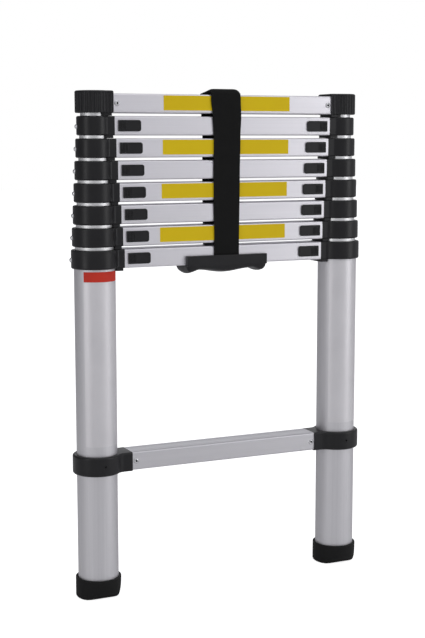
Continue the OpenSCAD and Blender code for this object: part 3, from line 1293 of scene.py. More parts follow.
@dataclass
class CollarPair:
    """The two black collars of one section, which hold its tubes, rung and locks.

    Attributes:
        section: The section.
        next_tube: Outer radius of the tube that slides in this one.
        rivet_dome: Outline of the small rivets' heads, as shares of their rise and radius.
    """

    section: Section
    next_tube: float
    mouth_gap: float = 0.3 * MM
    mouth_bevel: float = 0.7 * MM
    lip: float = 2.4 * MM
    rim: float = 2.2 * MM
    tab_corner: float = 1.3 * MM
    floor: float = 3.0 * MM
    pin_hole: float = 3.8 * MM
    rivet_rise: float = 2.7 * MM
    rivet_radius: float = 3.5 * MM
    rivet_root: float = 0.8 * MM
    rivet_drop: float = 1.2 * MM
    rivet_turn: float = 10.0
    rivet_dome: tuple[Spot, ...] = ((0.93, 0.38), (0.70, 0.69), (0.32, 0.92), (0.0, 1.0))

    @property
    def name(self) -> str:
        """The CAD node that the pair stands for."""
        return f"collars_{self.section.number}"

    def inside(self) -> Piece:
        """The tab under the neck, and what plugs into the rung: the tongue and the spring's cradle.

        Returns:
            All of it as one piece.
        """
        end = RungEnd(self.section)
        tab = end.tab(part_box(self.name)[0].z)
        Bench.soften(
            tab, self.tab_corner, steps=3,
            test=lambda a, b: abs(a.x - b.x) < HAIR and abs(a.y - b.y) < HAIR,
        )
        springs = frame["nodes"][f"lock_springs_{self.section.number}"].data.vertices
        far = -min(abs(point.co.x) for point in springs)
        tongue = end.tongue()
        bed = end.filling("bed", end.x - OVER, far + self.floor, end.low + self.floor)
        wall = end.filling("wall", far, far + self.floor, end.high)
        return Bench.join("collar_inside", [tab, tongue, bed, wall])

    def bore(self) -> Piece:
        """The tool that cuts the tube's seat and the mouth that the next tube slides through.

        Returns:
            The tool.
        """
        top, start = self.section.top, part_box(self.name)[0].z - OVER
        seat, mouth = self.section.tube + FIT, self.next_tube + self.mouth_gap
        pen = Pen("collar_bore", Plane.FRONT, Vector((-HALF_SPAN, 0, 0)), (0, start))
        pen.line((seat, start), (seat, top - self.lip), (mouth, top - self.lip))
        pen.line((mouth, top - self.mouth_bevel), (mouth + self.mouth_bevel, top))
        pen.line((mouth + self.mouth_bevel, top + OVER), (0, top + OVER))
        return pen.turned(Z_AXIS, steps=72)

    def build(self) -> None:
        """Models the pair."""
        part, end = self.section, RungEnd(self.section)
        barrel = -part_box(self.name)[0].x - HALF_SPAN
        name = f"collar_pair_{part.number}"
        piece = Sleeve(name, barrel, part.reach, part.half_depth, part.low, part.top, self.rim).blank()
        Bench.combine(piece, self.inside(), Mix.FUSE, crossing=True)
        Bench.combine(piece, self.bore(), Mix.CUT)
        start, stop = ((x, 0, part.middle) for x in (-HALF_SPAN, end.x + end.tongue_length + OVER))
        Bench.combine(piece, Bench.rod("pin_hole", start, stop, self.pin_hole), Mix.CUT)
        Bench.smooth(Bench.mirror(piece, stiles=True))
        hand_in(piece, BLACK_PLASTIC, f"section_{part.number}", self.name)
        self.rivets(barrel)

    def rivets(self, barrel: float) -> None:
        """Models the small rivets on the outer side of the two collars, a little behind the outermost line.

        Args:
            barrel: Outer radius of the collar.
        """
        name = f"collar_rivets_{self.section.number}"
        origin = Vector((-HALF_SPAN - barrel, 0, self.section.middle - self.rivet_drop))
        pen = Pen(name, Plane.PLAN, origin, (-self.rivet_rise, 0))
        pen.line(*((-rise * self.rivet_rise, wide * self.rivet_radius) for rise, wide in self.rivet_dome))
        pen.line((self.rivet_root, self.rivet_radius), (self.rivet_root, 0))
        piece = Bench.swing(pen.turned(X_AXIS, steps=24), name, -self.rivet_turn, (-HALF_SPAN, 0, 0))
        Bench.smooth(Bench.mirror(piece, stiles=True), degrees=50)
        hand_in(piece, RIVET_METAL, f"section_{self.section.number}")


@dataclass
class TopCaps:
    """The two fluted caps on the top section.

    Attributes:
        section: The top section.
        flute_margin: Distance of the outermost flutes of the round side from its corners, in pitches.
        tab_foot: Underside of the tab.
        top: Top of the cap.
        radius: Radius of the cap.
        half: Half the depth of its square end.
        corner: Direction of the corner between its round side and its square end.
    """

    section: Section
    lip: float = 2.4 * MM
    crown: float = 2.4 * MM
    crown_rise: float = 0.8 * MM
    foot: float = 2.0 * MM
    shoulder: float = 2.2 * MM
    flute_r: float = 2.4 * MM
    flute_depth: float = 1.25 * MM
    flutes: int = 22
    side_flutes: int = 2
    flute_margin: float = 0.7
    flute_stop: float = 1.6 * MM
    tab_foot: float = field(init=False)
    top: float = field(init=False)
    radius: float = field(init=False)
    half: float = field(init=False)
    corner: float = field(init=False)

    def __post_init__(self) -> None:
        """Reads the cap's size from the frame."""
        low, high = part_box("top_caps")
        self.tab_foot, self.top = low.z, high.z + self.crown_rise
        self.radius, self.half = -low.x - HALF_SPAN, self.section.half_depth + self.shoulder
        self.corner = math.asin(self.half / self.radius)

    @property
    def flat(self) -> float:
        """Distance from the stile's axis to where the straight sides start."""
        return self.radius * math.cos(self.corner)

    def flute_spots(self) -> list[Spot]:
        """The middle of each flute cutter, in plan about the stile's axis.

        Returns:
            The spots.
        """
        proud = self.flute_r - self.flute_depth
        pitch = (math.tau - 2 * self.corner) / (self.flutes - 1 + 2 * self.flute_margin)
        turns = [self.corner + pitch * (number + self.flute_margin) for number in range(self.flutes)]
        out = self.radius + proud
        spots = [(out * math.cos(turn), out * math.sin(turn)) for turn in turns]
        pitch = (self.section.reach - self.flat) / self.side_flutes
        for number in range(self.side_flutes):
            x = self.flat + (number + 0.5) * pitch
            spots += [(x, y * (self.half + proud)) for y in (-1, 1)]
        return spots

    def cutters(self) -> Piece:
        """All flute cutters as one tool: round-nosed rods along the outline.

        Returns:
            The tool.
        """
        start, stop = self.section.low - OVER, self.top - self.flute_stop - self.flute_r
        pen = Pen("flute", Plane.FRONT, Vector((-HALF_SPAN, 0, 0)), (0, start))
        pen.line((self.flute_r, start), (self.flute_r, stop)).arc((0, stop), 90, steps=6)
        first = pen.turned(Z_AXIS, steps=28)
        rods = [Bench.copy(first, "flute_rod", (x, y, 0)) for x, y in self.flute_spots()]
        Bench.discard(first)
        return Bench.join("flutes", rods)

    def build(self) -> None:
        """Models the pair."""
        part, end = self.section, RungEnd(self.section)
        pen = Pen("top_cap_pair", Plane.PLAN, Vector((-HALF_SPAN, 0, part.low)), (part.reach, -self.half))
        pen.line((part.reach, self.half), (self.flat, self.half))
        pen.arc((0, 0), 360 - 2 * math.degrees(self.corner), steps=80).line((part.reach, -self.half))
        piece = pen.solid(self.top - part.low)
        Bench.soften(piece, self.crown, steps=5, test=lambda a, b: min(a.z, b.z) > self.top - HAIR)
        Bench.soften(piece, self.foot, steps=4, test=lambda a, b: max(a.z, b.z) < part.low + HAIR)
        Bench.combine(piece, self.cutters(), Mix.CUT, crossing=True)
        inside = Bench.join("cap_inside", [end.tab(self.tab_foot), end.tongue()])
        Bench.combine(piece, inside, Mix.FUSE, crossing=True)
        start, stop = ((-HALF_SPAN, 0, z) for z in (self.tab_foot - OVER, self.top - self.lip))
        Bench.combine(piece, Bench.rod("cap_bore", start, stop, part.tube + FIT, sides=72), Mix.CUT)
        Bench.smooth(Bench.mirror(piece, stiles=True))
        hand_in(piece, BLACK_PLASTIC, f"section_{part.number}", "top_caps")


@dataclass
class BottomClamps:
    """The two clamps that hold the fixed rung on the lowest tubes.

    Attributes:
        section: The fixed rung.
    """

    section: Section
    rim: float = 3.0 * MM
    blend: float = 13.0 * MM
    end_edge: float = 1.5 * MM
    shoulder: float = 1.6 * MM
    mouth_bevel: float = 0.8 * MM
    dimple_r: float = 1.7 * MM
    dimple_wall: float = 0.8 * MM
    dimple_depth: float = 2.0 * MM
    dimple_floor_r: float = 1.02 * MM

    def bore(self, low: float, high: float) -> Piece:
        """The tool that cuts the tube's seat, with a bevel at both ends.

        Args:
            low: Underside of the clamp.
            high: Top of the clamp.

        Returns:
            The tool.
        """
        seat, bevel = self.section.tube + FIT, self.mouth_bevel
        pen = Pen("clamp_bore", Plane.FRONT, Vector((-HALF_SPAN, 0, 0)), (0, low - OVER))
        pen.line((seat + bevel, low - OVER), (seat + bevel, low), (seat, low + bevel))
        pen.line((seat, high - bevel), (seat + bevel, high), (seat + bevel, high + OVER), (0, high + OVER))
        return pen.turned(Z_AXIS, steps=72)

    def build(self) -> None:
        """Models the pair."""
        part, end = self.section, RungEnd(self.section)
        low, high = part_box("bottom_clamps")
        barrel, half = -low.x - HALF_SPAN, part.half_depth + self.shoulder
        sleeve = Sleeve("bottom_clamp_pair", barrel, part.reach, half, low.z, high.z, self.rim, self.blend)
        piece = Bench.soften(
            sleeve.blank(), self.end_edge, steps=3,
            test=lambda a, b: (
                min(a.x, b.x) > end.x - HAIR and abs(a.y - b.y) < HAIR and abs(a.y) > half - HAIR
            ),
        )
        Bench.combine(piece, end.tongue(), Mix.FUSE)
        Bench.combine(piece, self.bore(low.z, high.z), Mix.CUT)
        pen = Pen("dimple", Plane.PLAN, Vector((-HALF_SPAN, -barrel, part.middle)), (0, -OVER))
        pen.line((self.dimple_r, -OVER), (self.dimple_r, self.dimple_wall))
        pen.line((self.dimple_floor_r, self.dimple_depth), (0, self.dimple_depth))
        Bench.combine(piece, pen.turned(Y_AXIS, steps=20), Mix.CUT)
        Bench.smooth(Bench.mirror(piece, stiles=True))
        hand_in(piece, BLACK_PLASTIC, "section_1", "bottom_clamps")


@dataclass
class Feet:
    """The two rubber feet: the same round cup twice, with its sole bevelled at front, rear and right.

    Attributes:
        tube: Outer radius of the lowest tubes.
        softness: How sharply cup and bevels meet.
        crowding: How much the rings of points crowd at the floor and at the rim.
        radius: Radius of the cup.
        height: Height of the foot.
    """

    tube: float
    sole: float = 11.0 * MM
    right_flat: float = 24.5 * MM
    half_depth: float = 21.5 * MM
    bevel_height: float = 13.0 * MM
    rounding: float = 3.0 * MM
    softness: float = 10.0
    lip: float = 0.8 * MM
    treads: int = 5
    tread_width: float = 2.4 * MM
    tread_depth: float = 1.4 * MM
    tread_pitch: float = 8.0 * MM
    swell: float = 1.2 * MM
    rings: int = 40
    sides: int = 120
    crowding: float = 0.14
    radius: float = field(init=False)
    height: float = field(init=False)

    def __post_init__(self) -> None:
        """Reads the foot's size from the frame."""
        low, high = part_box("feet")
        self.radius, self.height = -low.x - HALF_SPAN + self.swell, high.z

    def outline(self, turn: float, z: float) -> float:
        """Distance of the foot's skin from the stile's axis.

        Args:
            turn: Direction in plan.
            z: Height above the floor.

        Returns:
            The distance, where round cup and slanted flats run into each other softly.
        """
        climb = z / self.bevel_height
        flats = [(1.0, self.radius)]
        ways = (max(math.cos(turn), 0), abs(math.sin(turn)))
        for share, flat in zip(ways, (self.right_flat, self.half_depth)):
            flats.append((share, flat + (self.radius - flat) * climb))
        reach = sum((share / far) ** self.softness for share, far in flats) ** (-1 / self.softness)
        for way, size in ((z, self.rounding), (self.height - z, self.lip)):
            if way < size:
                reach -= size - math.sqrt(size**2 - (size - way) ** 2)
        return reach

    def skin(self, around: float, up: float) -> Triple:
        """A point of the left foot's skin.

        Args:
            around: Place around the foot, from -1 to 1.
            up: Place from the floor, -1, to the rim, 1.

        Returns:
            The point.
        """
        turn, share = around * math.pi, (up + 1) / 2
        z = self.height * (share - self.crowding * math.sin(math.tau * share))
        reach = self.outline(turn, z)
        return reach * math.cos(turn) - HALF_SPAN, reach * math.sin(turn), z

    def grooves(self) -> Piece:
        """The tool that cuts the treads into the sole.

        Returns:
            The tool.
        """
        bars = []
        for number in range(self.treads):
            y, half = (number - (self.treads - 1) / 2) * self.tread_pitch, self.tread_width / 2
            low = (-HALF_SPAN - self.radius, y - half, -OVER)
            bars.append(Bench.block("tread", low, (-HALF_SPAN + self.radius, y + half, self.tread_depth)))
        return Bench.join("treads", bars)

    def build(self) -> None:
        """Models the pair."""
        piece = Bench.drape("foot_pair", self.sides, self.rings, self.skin)
        Bench.plug(Bench.face_out(piece))
        seat, rim = self.tube + FIT, self.height
        pen = Pen("foot_bore", Plane.FRONT, Vector((-HALF_SPAN, 0, 0)), (0, self.sole))
        pen.line((seat, self.sole), (seat, rim - self.lip), (seat + self.lip, rim))
        pen.line((seat + self.lip, rim + OVER), (0, rim + OVER))
        Bench.combine(piece, pen.turned(Z_AXIS, steps=96), Mix.CUT)
        Bench.combine(piece, self.grooves(), Mix.CUT)
        piece = Bench.join("foot_pair", [piece, Bench.copy(piece, "right_foot", (2 * HALF_SPAN, 0, 0))])
        hand_in(Bench.smooth(piece), BLACK_RUBBER, "section_1", "feet")


@dataclass
class Latches:
    """The thumb latches with their lock pins and springs, one set at each end of seven rungs.

    Attributes:
        sections: The sections that lock.
        next_tubes: Outer radius of the tube inside each of them.
    """

    sections: Sequence[Section]
    next_tubes: Sequence[float]
    inset: float = 5.2 * MM
    length: float = 34.0 * MM
    height: float = 16.0 * MM
    thickness: float = 2.2 * MM
    gap: float = 0.3 * MM
    inner_corner: float = 3.5 * MM
    inner_steps: int = 6
    outer_corner: float = 1.0 * MM
    outer_steps: int = 3
    least_corner: float = 0.4 * MM
    plate_edge: float = 0.5 * MM
    rim: float = 1.3 * MM
    dish: float = 0.5 * MM
    ridges: int = 5
    ridge_pitch: float = 2.2 * MM
    ridge_width: float = 1.0 * MM
    ridge_rise: float = 0.25 * MM
    ridge_edge: float = 0.3 * MM
    carriage_start: float = 13.0 * MM
    carriage_end: float = 31.0 * MM
    carriage_half_depth: float = 9.0 * MM
    carriage_low: float = -8.45 * MM
    carriage_top: float = 8.75 * MM
    carriage_edge: float = 0.8 * MM
    stem_start: float = 16.0 * MM
    stem_end: float = 28.0 * MM
    stem_half: float = 5.0 * MM
    pin_r: float = 3.5 * MM
    pin_nose: float = 0.8 * MM
    tail_r: float = 2.4 * MM
    tail: float = 10.0 * MM
    wire: float = 0.8 * MM
    wire_sides: int = 8
    coil: float = 4.2 * MM
    coil_steps: int = 28
    turns: int = 7
    travel: float = 8.0 * MM

    def plate(self, name: str, back: float, inset: float, depth: float) -> Piece:
        """A plate of the latch's outline: nearly square at the rung end, round at the inner end.

        Args:
            name: The plate's name.
            back: Place of its rear face.
            inset: How far its outline lies inside the latch's.
            depth: Its thickness.

        Returns:
            The plate.
        """
        half = self.height / 2 - inset
        low, high = (self.inset + inset, -half), (self.inset + self.length - inset, half)
        inner = (self.inner_corner - inset, self.inner_steps)
        outer = (max(self.outer_corner - inset, self.least_corner), self.outer_steps)
        return Pen.tablet(name, Vector((0, back, 0)), low, high, (inner, inner, outer, outer)).solid(depth)

    def slider(self) -> Piece:
        """The slider, with the rung's end at X 0 and the rung's middle at Z 0.

        Returns:
            The slider.
        """
        face = -self.sections[0].half_depth - self.gap
        front = face - self.thickness
        plate = self.plate("latch_plate", face, 0, self.thickness)
        Bench.soften(plate, self.plate_edge, steps=3, test=lambda a, b: max(a.y, b.y) < front + HAIR)
        Bench.combine(plate, self.plate("dish", front + self.dish, self.rim, self.dish + OVER), Mix.CUT)
        parts, half = [], self.height / 2 - self.ridge_pitch - self.rim / 2
        for number in range(1, self.ridges + 1):
            x = self.inset + number * self.ridge_pitch
            end = (x + self.ridge_width, face - self.gap, half)
            bar = Bench.block("ridge", (x, front - self.ridge_rise, -half), end)
            Bench.soften(bar, self.ridge_edge, steps=2, test=lambda a, b: max(a.y, b.y) < front)
            parts.append(bar)
        end = (self.stem_end, 0, self.stem_half)
        parts.append(Bench.block("stem", (self.stem_start, face - OVER, -self.stem_half), end))
        start = (self.carriage_start, -self.carriage_half_depth, self.carriage_low)
        end = (self.carriage_end, self.carriage_half_depth, self.carriage_top)
        carriage = Bench.block("carriage", start, end)
        parts.append(Bench.soften_sharp(carriage, self.carriage_edge, steps=2, degrees=30))
        Bench.combine(plate, Bench.join("slider_parts", parts), Mix.FUSE, crossing=True)
        seat = Bench.rod("pin_seat", (0, 0, 0), (self.carriage_end + OVER, 0, 0), self.pin_r + FIT)
        return Bench.smooth(Bench.combine(plate, seat, Mix.CUT))

    def pin(self, start: float) -> Piece:
        """A lock pin with a rounded nose and a tail inside the spring.

        Args:
            start: Place of its nose, measured from the rung's end.

        Returns:
            The pin.
        """
        end, straight = self.carriage_end, self.pin_r - self.pin_nose
        pen = Pen("pin", Plane.PLAN, Vector((0, 0, 0)), (start, 0))
        pen.line((start, straight)).arc((start + self.pin_nose, straight), -90, steps=4)
        pen.line((end, self.pin_r), (end, self.tail_r), (end + self.tail, self.tail_r), (end + self.tail, 0))
        return Bench.smooth(pen.turned(X_AXIS, steps=32), degrees=40)

    def spring_room(self) -> float:
        """Length that the springs have with the ladder closed."""
        places = [abs(point.co.x) for point in frame["nodes"]["lock_springs_1"].data.vertices]
        return max(places) - min(places)

    def spring(self) -> Piece:
        """A lock spring, wound along X from the carriage to the cradle's wall.

        Returns:
            The spring.
        """
        start = (self.carriage_end + FIT + self.wire, 0, self.coil)
        Bench.clear()
        bpy.ops.mesh.primitive_circle_add(
            vertices=self.wire_sides, radius=self.wire, location=start, rotation=(math.pi / 2, 0, 0)
        )
        piece = Bench.settle(bpy.context.object, "spring")
        Bench.modify(
            piece, "SCREW", axis="X", screw_offset=(self.spring_room() - 2 * self.wire) / self.turns,
            iterations=self.turns, steps=self.coil_steps, render_steps=self.coil_steps,
        )
        return Bench.smooth(Bench.plug(piece), degrees=60)

    def build(self) -> None:
        """Models one set and copies it to the ends of all rungs."""
        slider, spring, room = self.slider(), self.spring(), self.spring_room()
        for part, next_tube in zip(self.sections, self.next_tubes):
            pin = self.pin(next_tube + self.gap - part.reach)
            spring_home = (f"section_{part.number}", f"lock_springs_{part.number}")
            for side in Side:
                which = f"{part.number}_{side.value}"
                body = f"latch_{which}"
                self.place(slider, f"thumb_latch_{which}", part, side, BLACK_PLASTIC, body, body)
                self.place(pin, f"lock_pin_{which}", part, side, SPRING_STEEL, body, body)
                coil = self.place(spring, f"lock_spring_{which}", part, side, SPRING_STEEL, *spring_home)
                part.middle
                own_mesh(coil)
            Bench.discard(pin)
        Bench.discard(slider, spring)

    def place(
        self, pattern: Piece, name: str, part: Section, side: Side, finish: Finish, body: str, node: str
    ) -> Piece:
        """Copies a pattern to one end of a rung.

        Args:
            pattern: The piece to copy.
            name: The copy's name.
            part: The rung's section.
            side: The stile.
            finish: The copy's finish.
            body: The body that it rides on.
            node: The CAD node that it stands for.

        Returns:
            The copy.
        """
        shift = (part.reach - HALF_SPAN, 0, part.middle)
        piece = Bench.copy(pattern, name, shift, side is Side.RIGHT)
        return hand_in(Bench.smooth(piece), finish, body, node)


@dataclass
class RungRivets:
    """The blind rivets at the ends of one rung, front and rear.

    Attributes:
        section: The rung.
        node: The CAD node of its rivets.
        body: The body that they ride on.
        flare: Width and start of the hole's flare, as shares of the hole's radius and of the head's rise.
        dome: Outline of the head, as shares of its radius and rise.
    """

    section: Section
    node: str
    body: str
    inset: float = 6.0 * MM
    head: float = 4.2 * MM
    rise: float = 1.3 * MM
    shank: float = 2.0 * MM
    depth: float = 5.0 * MM
    hole: float = 1.6 * MM
    hole_depth: float = 4.2 * MM
    flare: Spot = (1.35, 0.8)
    dome: tuple[Spot, ...] = ((0.6, 0.95), (0.82, 0.68), (0.96, 0.3), (1.0, 0.0))

    def build(self) -> None:
        """Models one rivet and mirrors it to the other three places."""
        x = self.section.reach + self.inset - HALF_SPAN
        origin = Vector((x, -self.section.half_depth, self.section.middle))
        pen = Pen(f"blind_{self.node}", Plane.PLAN, origin, (0, self.hole_depth))
        pen.line((self.hole, self.hole_depth), (self.hole, -self.flare[1] * self.rise))
        pen.line((self.flare[0] * self.hole, -self.rise))
        pen.line(*((wide * self.head, -rise * self.rise) for wide, rise in self.dome))
        pen.line((self.shank, 0), (self.shank, self.depth), (0, self.depth))
        piece = Bench.mirror(pen.turned(Y_AXIS, steps=32), stiles=True, faces=True)
        hand_in(Bench.smooth(piece, degrees=50), RIVET_METAL, self.body, self.node)


@dataclass
class CarryStrap:
    """The webbing strap over the closed stack.

    Attributes:
        top: The top section.
        bottom: The lowest section.
        taper: Share of the way up from the lowest rung to the top one, width there, and shift to the right.
        droop: How far the left and the right edge sink at the top, as shares of the strap's lift there.
        droop_power: How close to the edges they start to sink.
        line: The middle line seen from the side, as Y and Z, from the front end to the rear end.
    """

    top: Section
    bottom: Section
    gap: float = 0.4 * MM
    thickness: float = 2.0 * MM
    width: float = 45.0 * MM
    taper: tuple[Triple, ...] = (
        (0.00, 40.0 * MM, 0.0), (0.45, 42.2 * MM, 0.1 * MM), (0.72, 42.8 * MM, 0.8 * MM),
        (0.86, 45.8 * MM, 0.6 * MM), (0.97, 47.6 * MM, -1.2 * MM), (1.04, 46.4 * MM, -1.8 * MM),
    )
    rise_front: float = 6.6 * MM
    rise_rear: float = 1.0 * MM
    bend_front: float = 6.0 * MM
    bend_rear: float = 3.4 * MM
    bend_steps: int = 24
    droop: Spot = (0.35, 0.75)
    droop_power: int = 12
    droop_start: float = 1.3 * MM
    edge: float = 0.5 * MM
    step: float = 1.6 * MM
    across: int = 26
    line: list[Spot] = field(init=False)

    def __post_init__(self) -> None:
        """Draws the middle line."""
        self.line = self.path()

    def path(self) -> list[Spot]:
        """The points of the middle line: up the front, round two bends over the top rung, down the rear.

        Returns:
            The points, as Y and Z.
        """
        inner, half = self.top.half_depth + self.gap, self.thickness / 2
        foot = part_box("strap")[0].z
        front = (self.bend_front - inner, self.top.top + self.rise_front - self.bend_front)
        rear = (inner - self.bend_rear, self.top.top + self.rise_rear - self.bend_rear)
        run = (rear[0] - front[0], rear[1] - front[1])
        normal = math.atan2(run[1], run[0]) + math.acos((self.bend_front - self.bend_rear) / math.hypot(*run))
        points: list[Spot] = [(-inner - half, foot)]
        for centre, radius, start, end in (
            (front, self.bend_front + half, math.pi, normal),
            (rear, self.bend_rear + half, normal, 0.0),
        ):
            for number in range(self.bend_steps + 1):
                turn = start + (end - start) * number / self.bend_steps
                points.append((centre[0] + radius * math.cos(turn), centre[1] + radius * math.sin(turn)))
        points.append((inner + half, foot))
        return points

    def breadth(self, share: float) -> Spot:
        """How wide the strap is at a height, and how far it sits off the middle.

        Args:
            share: The height, as a share of the way from the lowest rung to the top one.

        Returns:
            The width and the shift.
        """
        for (low, w0, s0), (high, w1, s1) in zip(self.taper, self.taper[1:]):
            if share < high:
                way = max((share - low) / (high - low), 0)
                way = way * way * (3 - 2 * way)
                return w0 + (w1 - w0) * way, s0 + (s1 - s0) * way
        return self.taper[-1][1:]

    @property
    def length(self) -> float:
        """Length of the middle line."""
        return sum(math.dist(a, b) for a, b in zip(self.line, self.line[1:]))

    def at(self, way: float) -> Spot:
        """The point at a distance along the middle line.

        Args:
            way: The distance from the front end.

        Returns:
            The point, as Y and Z.
        """
        for a, b in zip(self.line, self.line[1:]):
            leg = math.dist(a, b)
            if way <= leg:
                share = way / leg
                return a[0] + (b[0] - a[0]) * share, a[1] + (b[1] - a[1]) * share
            way -= leg
        return self.line[-1]

    def skin(self, across: float, along: float) -> Triple:
        """A point of the strap's middle layer.

        Args:
            across: Place from the left edge, -1, to the right edge, 1.
            along: Place from the front end, -1, to the rear end, 1.

        Returns:
            The point.
        """
        foot, head = self.bottom.top, self.top.top
        y, z = self.at((along + 1) / 2 * self.length)
        width, shift = self.breadth((z - foot) / (head - foot))
        lift = max(z - head - self.droop_start, 0)
        fall = self.droop[across > 0] * lift * abs(across) ** self.droop_power
        return shift + across * width / 2, y, z - fall

    def build(self) -> None:
        """Models the strap: a woven band that is pulled in where the handle takes it."""
        total = self.length
        piece = Bench.drape("carry_strap", self.across, round(total / self.step), self.skin)
        Bench.modify(piece, "SOLIDIFY", thickness=self.thickness, offset=0)
        Bench.soften_sharp(Bench.face_out(piece), self.edge, steps=2, degrees=60)
        finish = Webbing(
            "black_webbing", Slot.WEBBING, (0.012, 0.012, 0.012), (0.004, 0.004, 0.004), (self.width, total)
        )
        hand_in(Bench.smooth(piece, degrees=50), finish, "strap", "strap")


@dataclass
class CarryHandle:
    """The carrying handle under the lowest rung: a grip with finger lobes between two straight lips.

    Attributes:
        section: The lowest section.
        strap: The strap that its pockets take.
        crown: How much thinner the grip is at front and rear than in the middle, as a share.
        end_start: Where the front edge starts to turn into the end's, as a share of the half length.
        end_span: Over what share of the half length it does so.
        half_length: Half the grip's length.
        half_depth: Half its depth.
        top: Top of the grip, under the rung.
        lip_top: Top of the lips.
        lobe: How far the lobes hang below the finger grooves.
    """

    section: Section
    strap: CarryStrap
    gap: float = 0.3 * MM
    grip: float = 6.4 * MM
    fullness: float = 2.0 * MM
    crown: float = 0.4
    groove_x: float = 42.0 * MM
    lobe_x: float = 58.0 * MM
    end_edge: float = 6.5 * MM
    front_edge: float = 6.0 * MM
    end_start: float = 0.65
    end_span: float = 0.3
    front_corner: float = 6.0 * MM
    rear_corner: float = 8.0 * MM
    lip_root: float = 1.5 * MM
    lip_edge: float = 0.9 * MM
    pocket_gap: float = 0.6 * MM
    columns: int = 110
    rows: int = 44
    half_length: float = field(init=False)
    half_depth: float = field(init=False)
    top: float = field(init=False)
    lip_top: float = field(init=False)
    lobe: float = field(init=False)

    def __post_init__(self) -> None:
        """Reads the handle's size from the frame."""
        low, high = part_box("handle")
        self.half_length, self.half_depth, self.lip_top = high
        self.top = self.section.low - self.gap
        self.lobe = self.top - low.z - self.grip

    def hang(self, x: float) -> float:
        """How far the grip hangs below the rung at a place along it.

        Args:
            x: The place.

        Returns:
            The distance.
        """
        far = abs(x)
        if far < self.groove_x:
            return self.grip + self.lobe * (1 + math.cos(math.pi * far / self.groove_x)) / 2
        share = min((far - self.groove_x) / (self.lobe_x - self.groove_x), 1)
        return self.grip + self.lobe * (1 - math.cos(math.pi * share)) / 2

    def underside(self, along: float, across: float) -> Triple:
        """A point of the grip's underside.

        Args:
            along: Place from the left end, -1, to the right end, 1.
            across: Place from front, -1, to rear, 1.

        Returns:
            The point.
        """
        y = math.sin(across * math.pi / 2) * self.half_depth
        corner = self.front_corner if y < 0 else self.rear_corner
        in_y = abs(y) - self.half_depth + corner
        end = self.half_length - corner + math.sqrt(max(corner**2 - max(in_y, 0) ** 2, 0))
        x = math.sin(along * math.pi / 2) * end
        in_x = abs(x) - self.half_length + corner
        inward = corner - (math.hypot(max(in_x, 0), max(in_y, 0)) + min(max(in_x, in_y), 0))
        toward_end = (abs(x) - self.end_start * self.half_length) / (self.end_span * self.half_length)
        turned = min(max(toward_end, 0), 1) if y < 0 else 1
        edge = self.front_edge + (self.end_edge - self.front_edge) * turned
        roll = 1 - min(max(inward, 0) / edge, 1)
        crowned = (self.hang(x) + self.fullness) * (1 - self.crown * (y / self.half_depth) ** 2)
        return x, y, self.top - crowned * math.sqrt(max(1 - roll**2, 0))

    def build(self) -> None:
        """Models the handle."""
        piece = Bench.plug(Bench.drape("carry_handle", self.columns, self.rows, self.underside))
        face = self.section.half_depth
        low = (-self.half_length, -self.half_depth, self.top - self.lip_root)
        lip = Bench.block("lip", low, (self.half_length, -face - self.gap, self.lip_top))
        Bench.soften_sharp(lip, self.lip_edge, steps=3, degrees=30)
        Bench.combine(piece, Bench.mirror(lip, faces=True), Mix.FUSE)
        half = self.strap.taper[0][1] / 2 + self.pocket_gap
        deep = face + self.strap.gap + self.strap.thickness + self.gap
        low = (-half, -deep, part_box("strap")[0].z - self.gap)
        pocket = Bench.block("pocket", low, (half, -face, self.lip_top + OVER))
        Bench.combine(piece, Bench.mirror(pocket, faces=True), Mix.CUT)
        hand_in(Bench.smooth(piece, degrees=40), BLACK_PLASTIC, "handle", "handle")


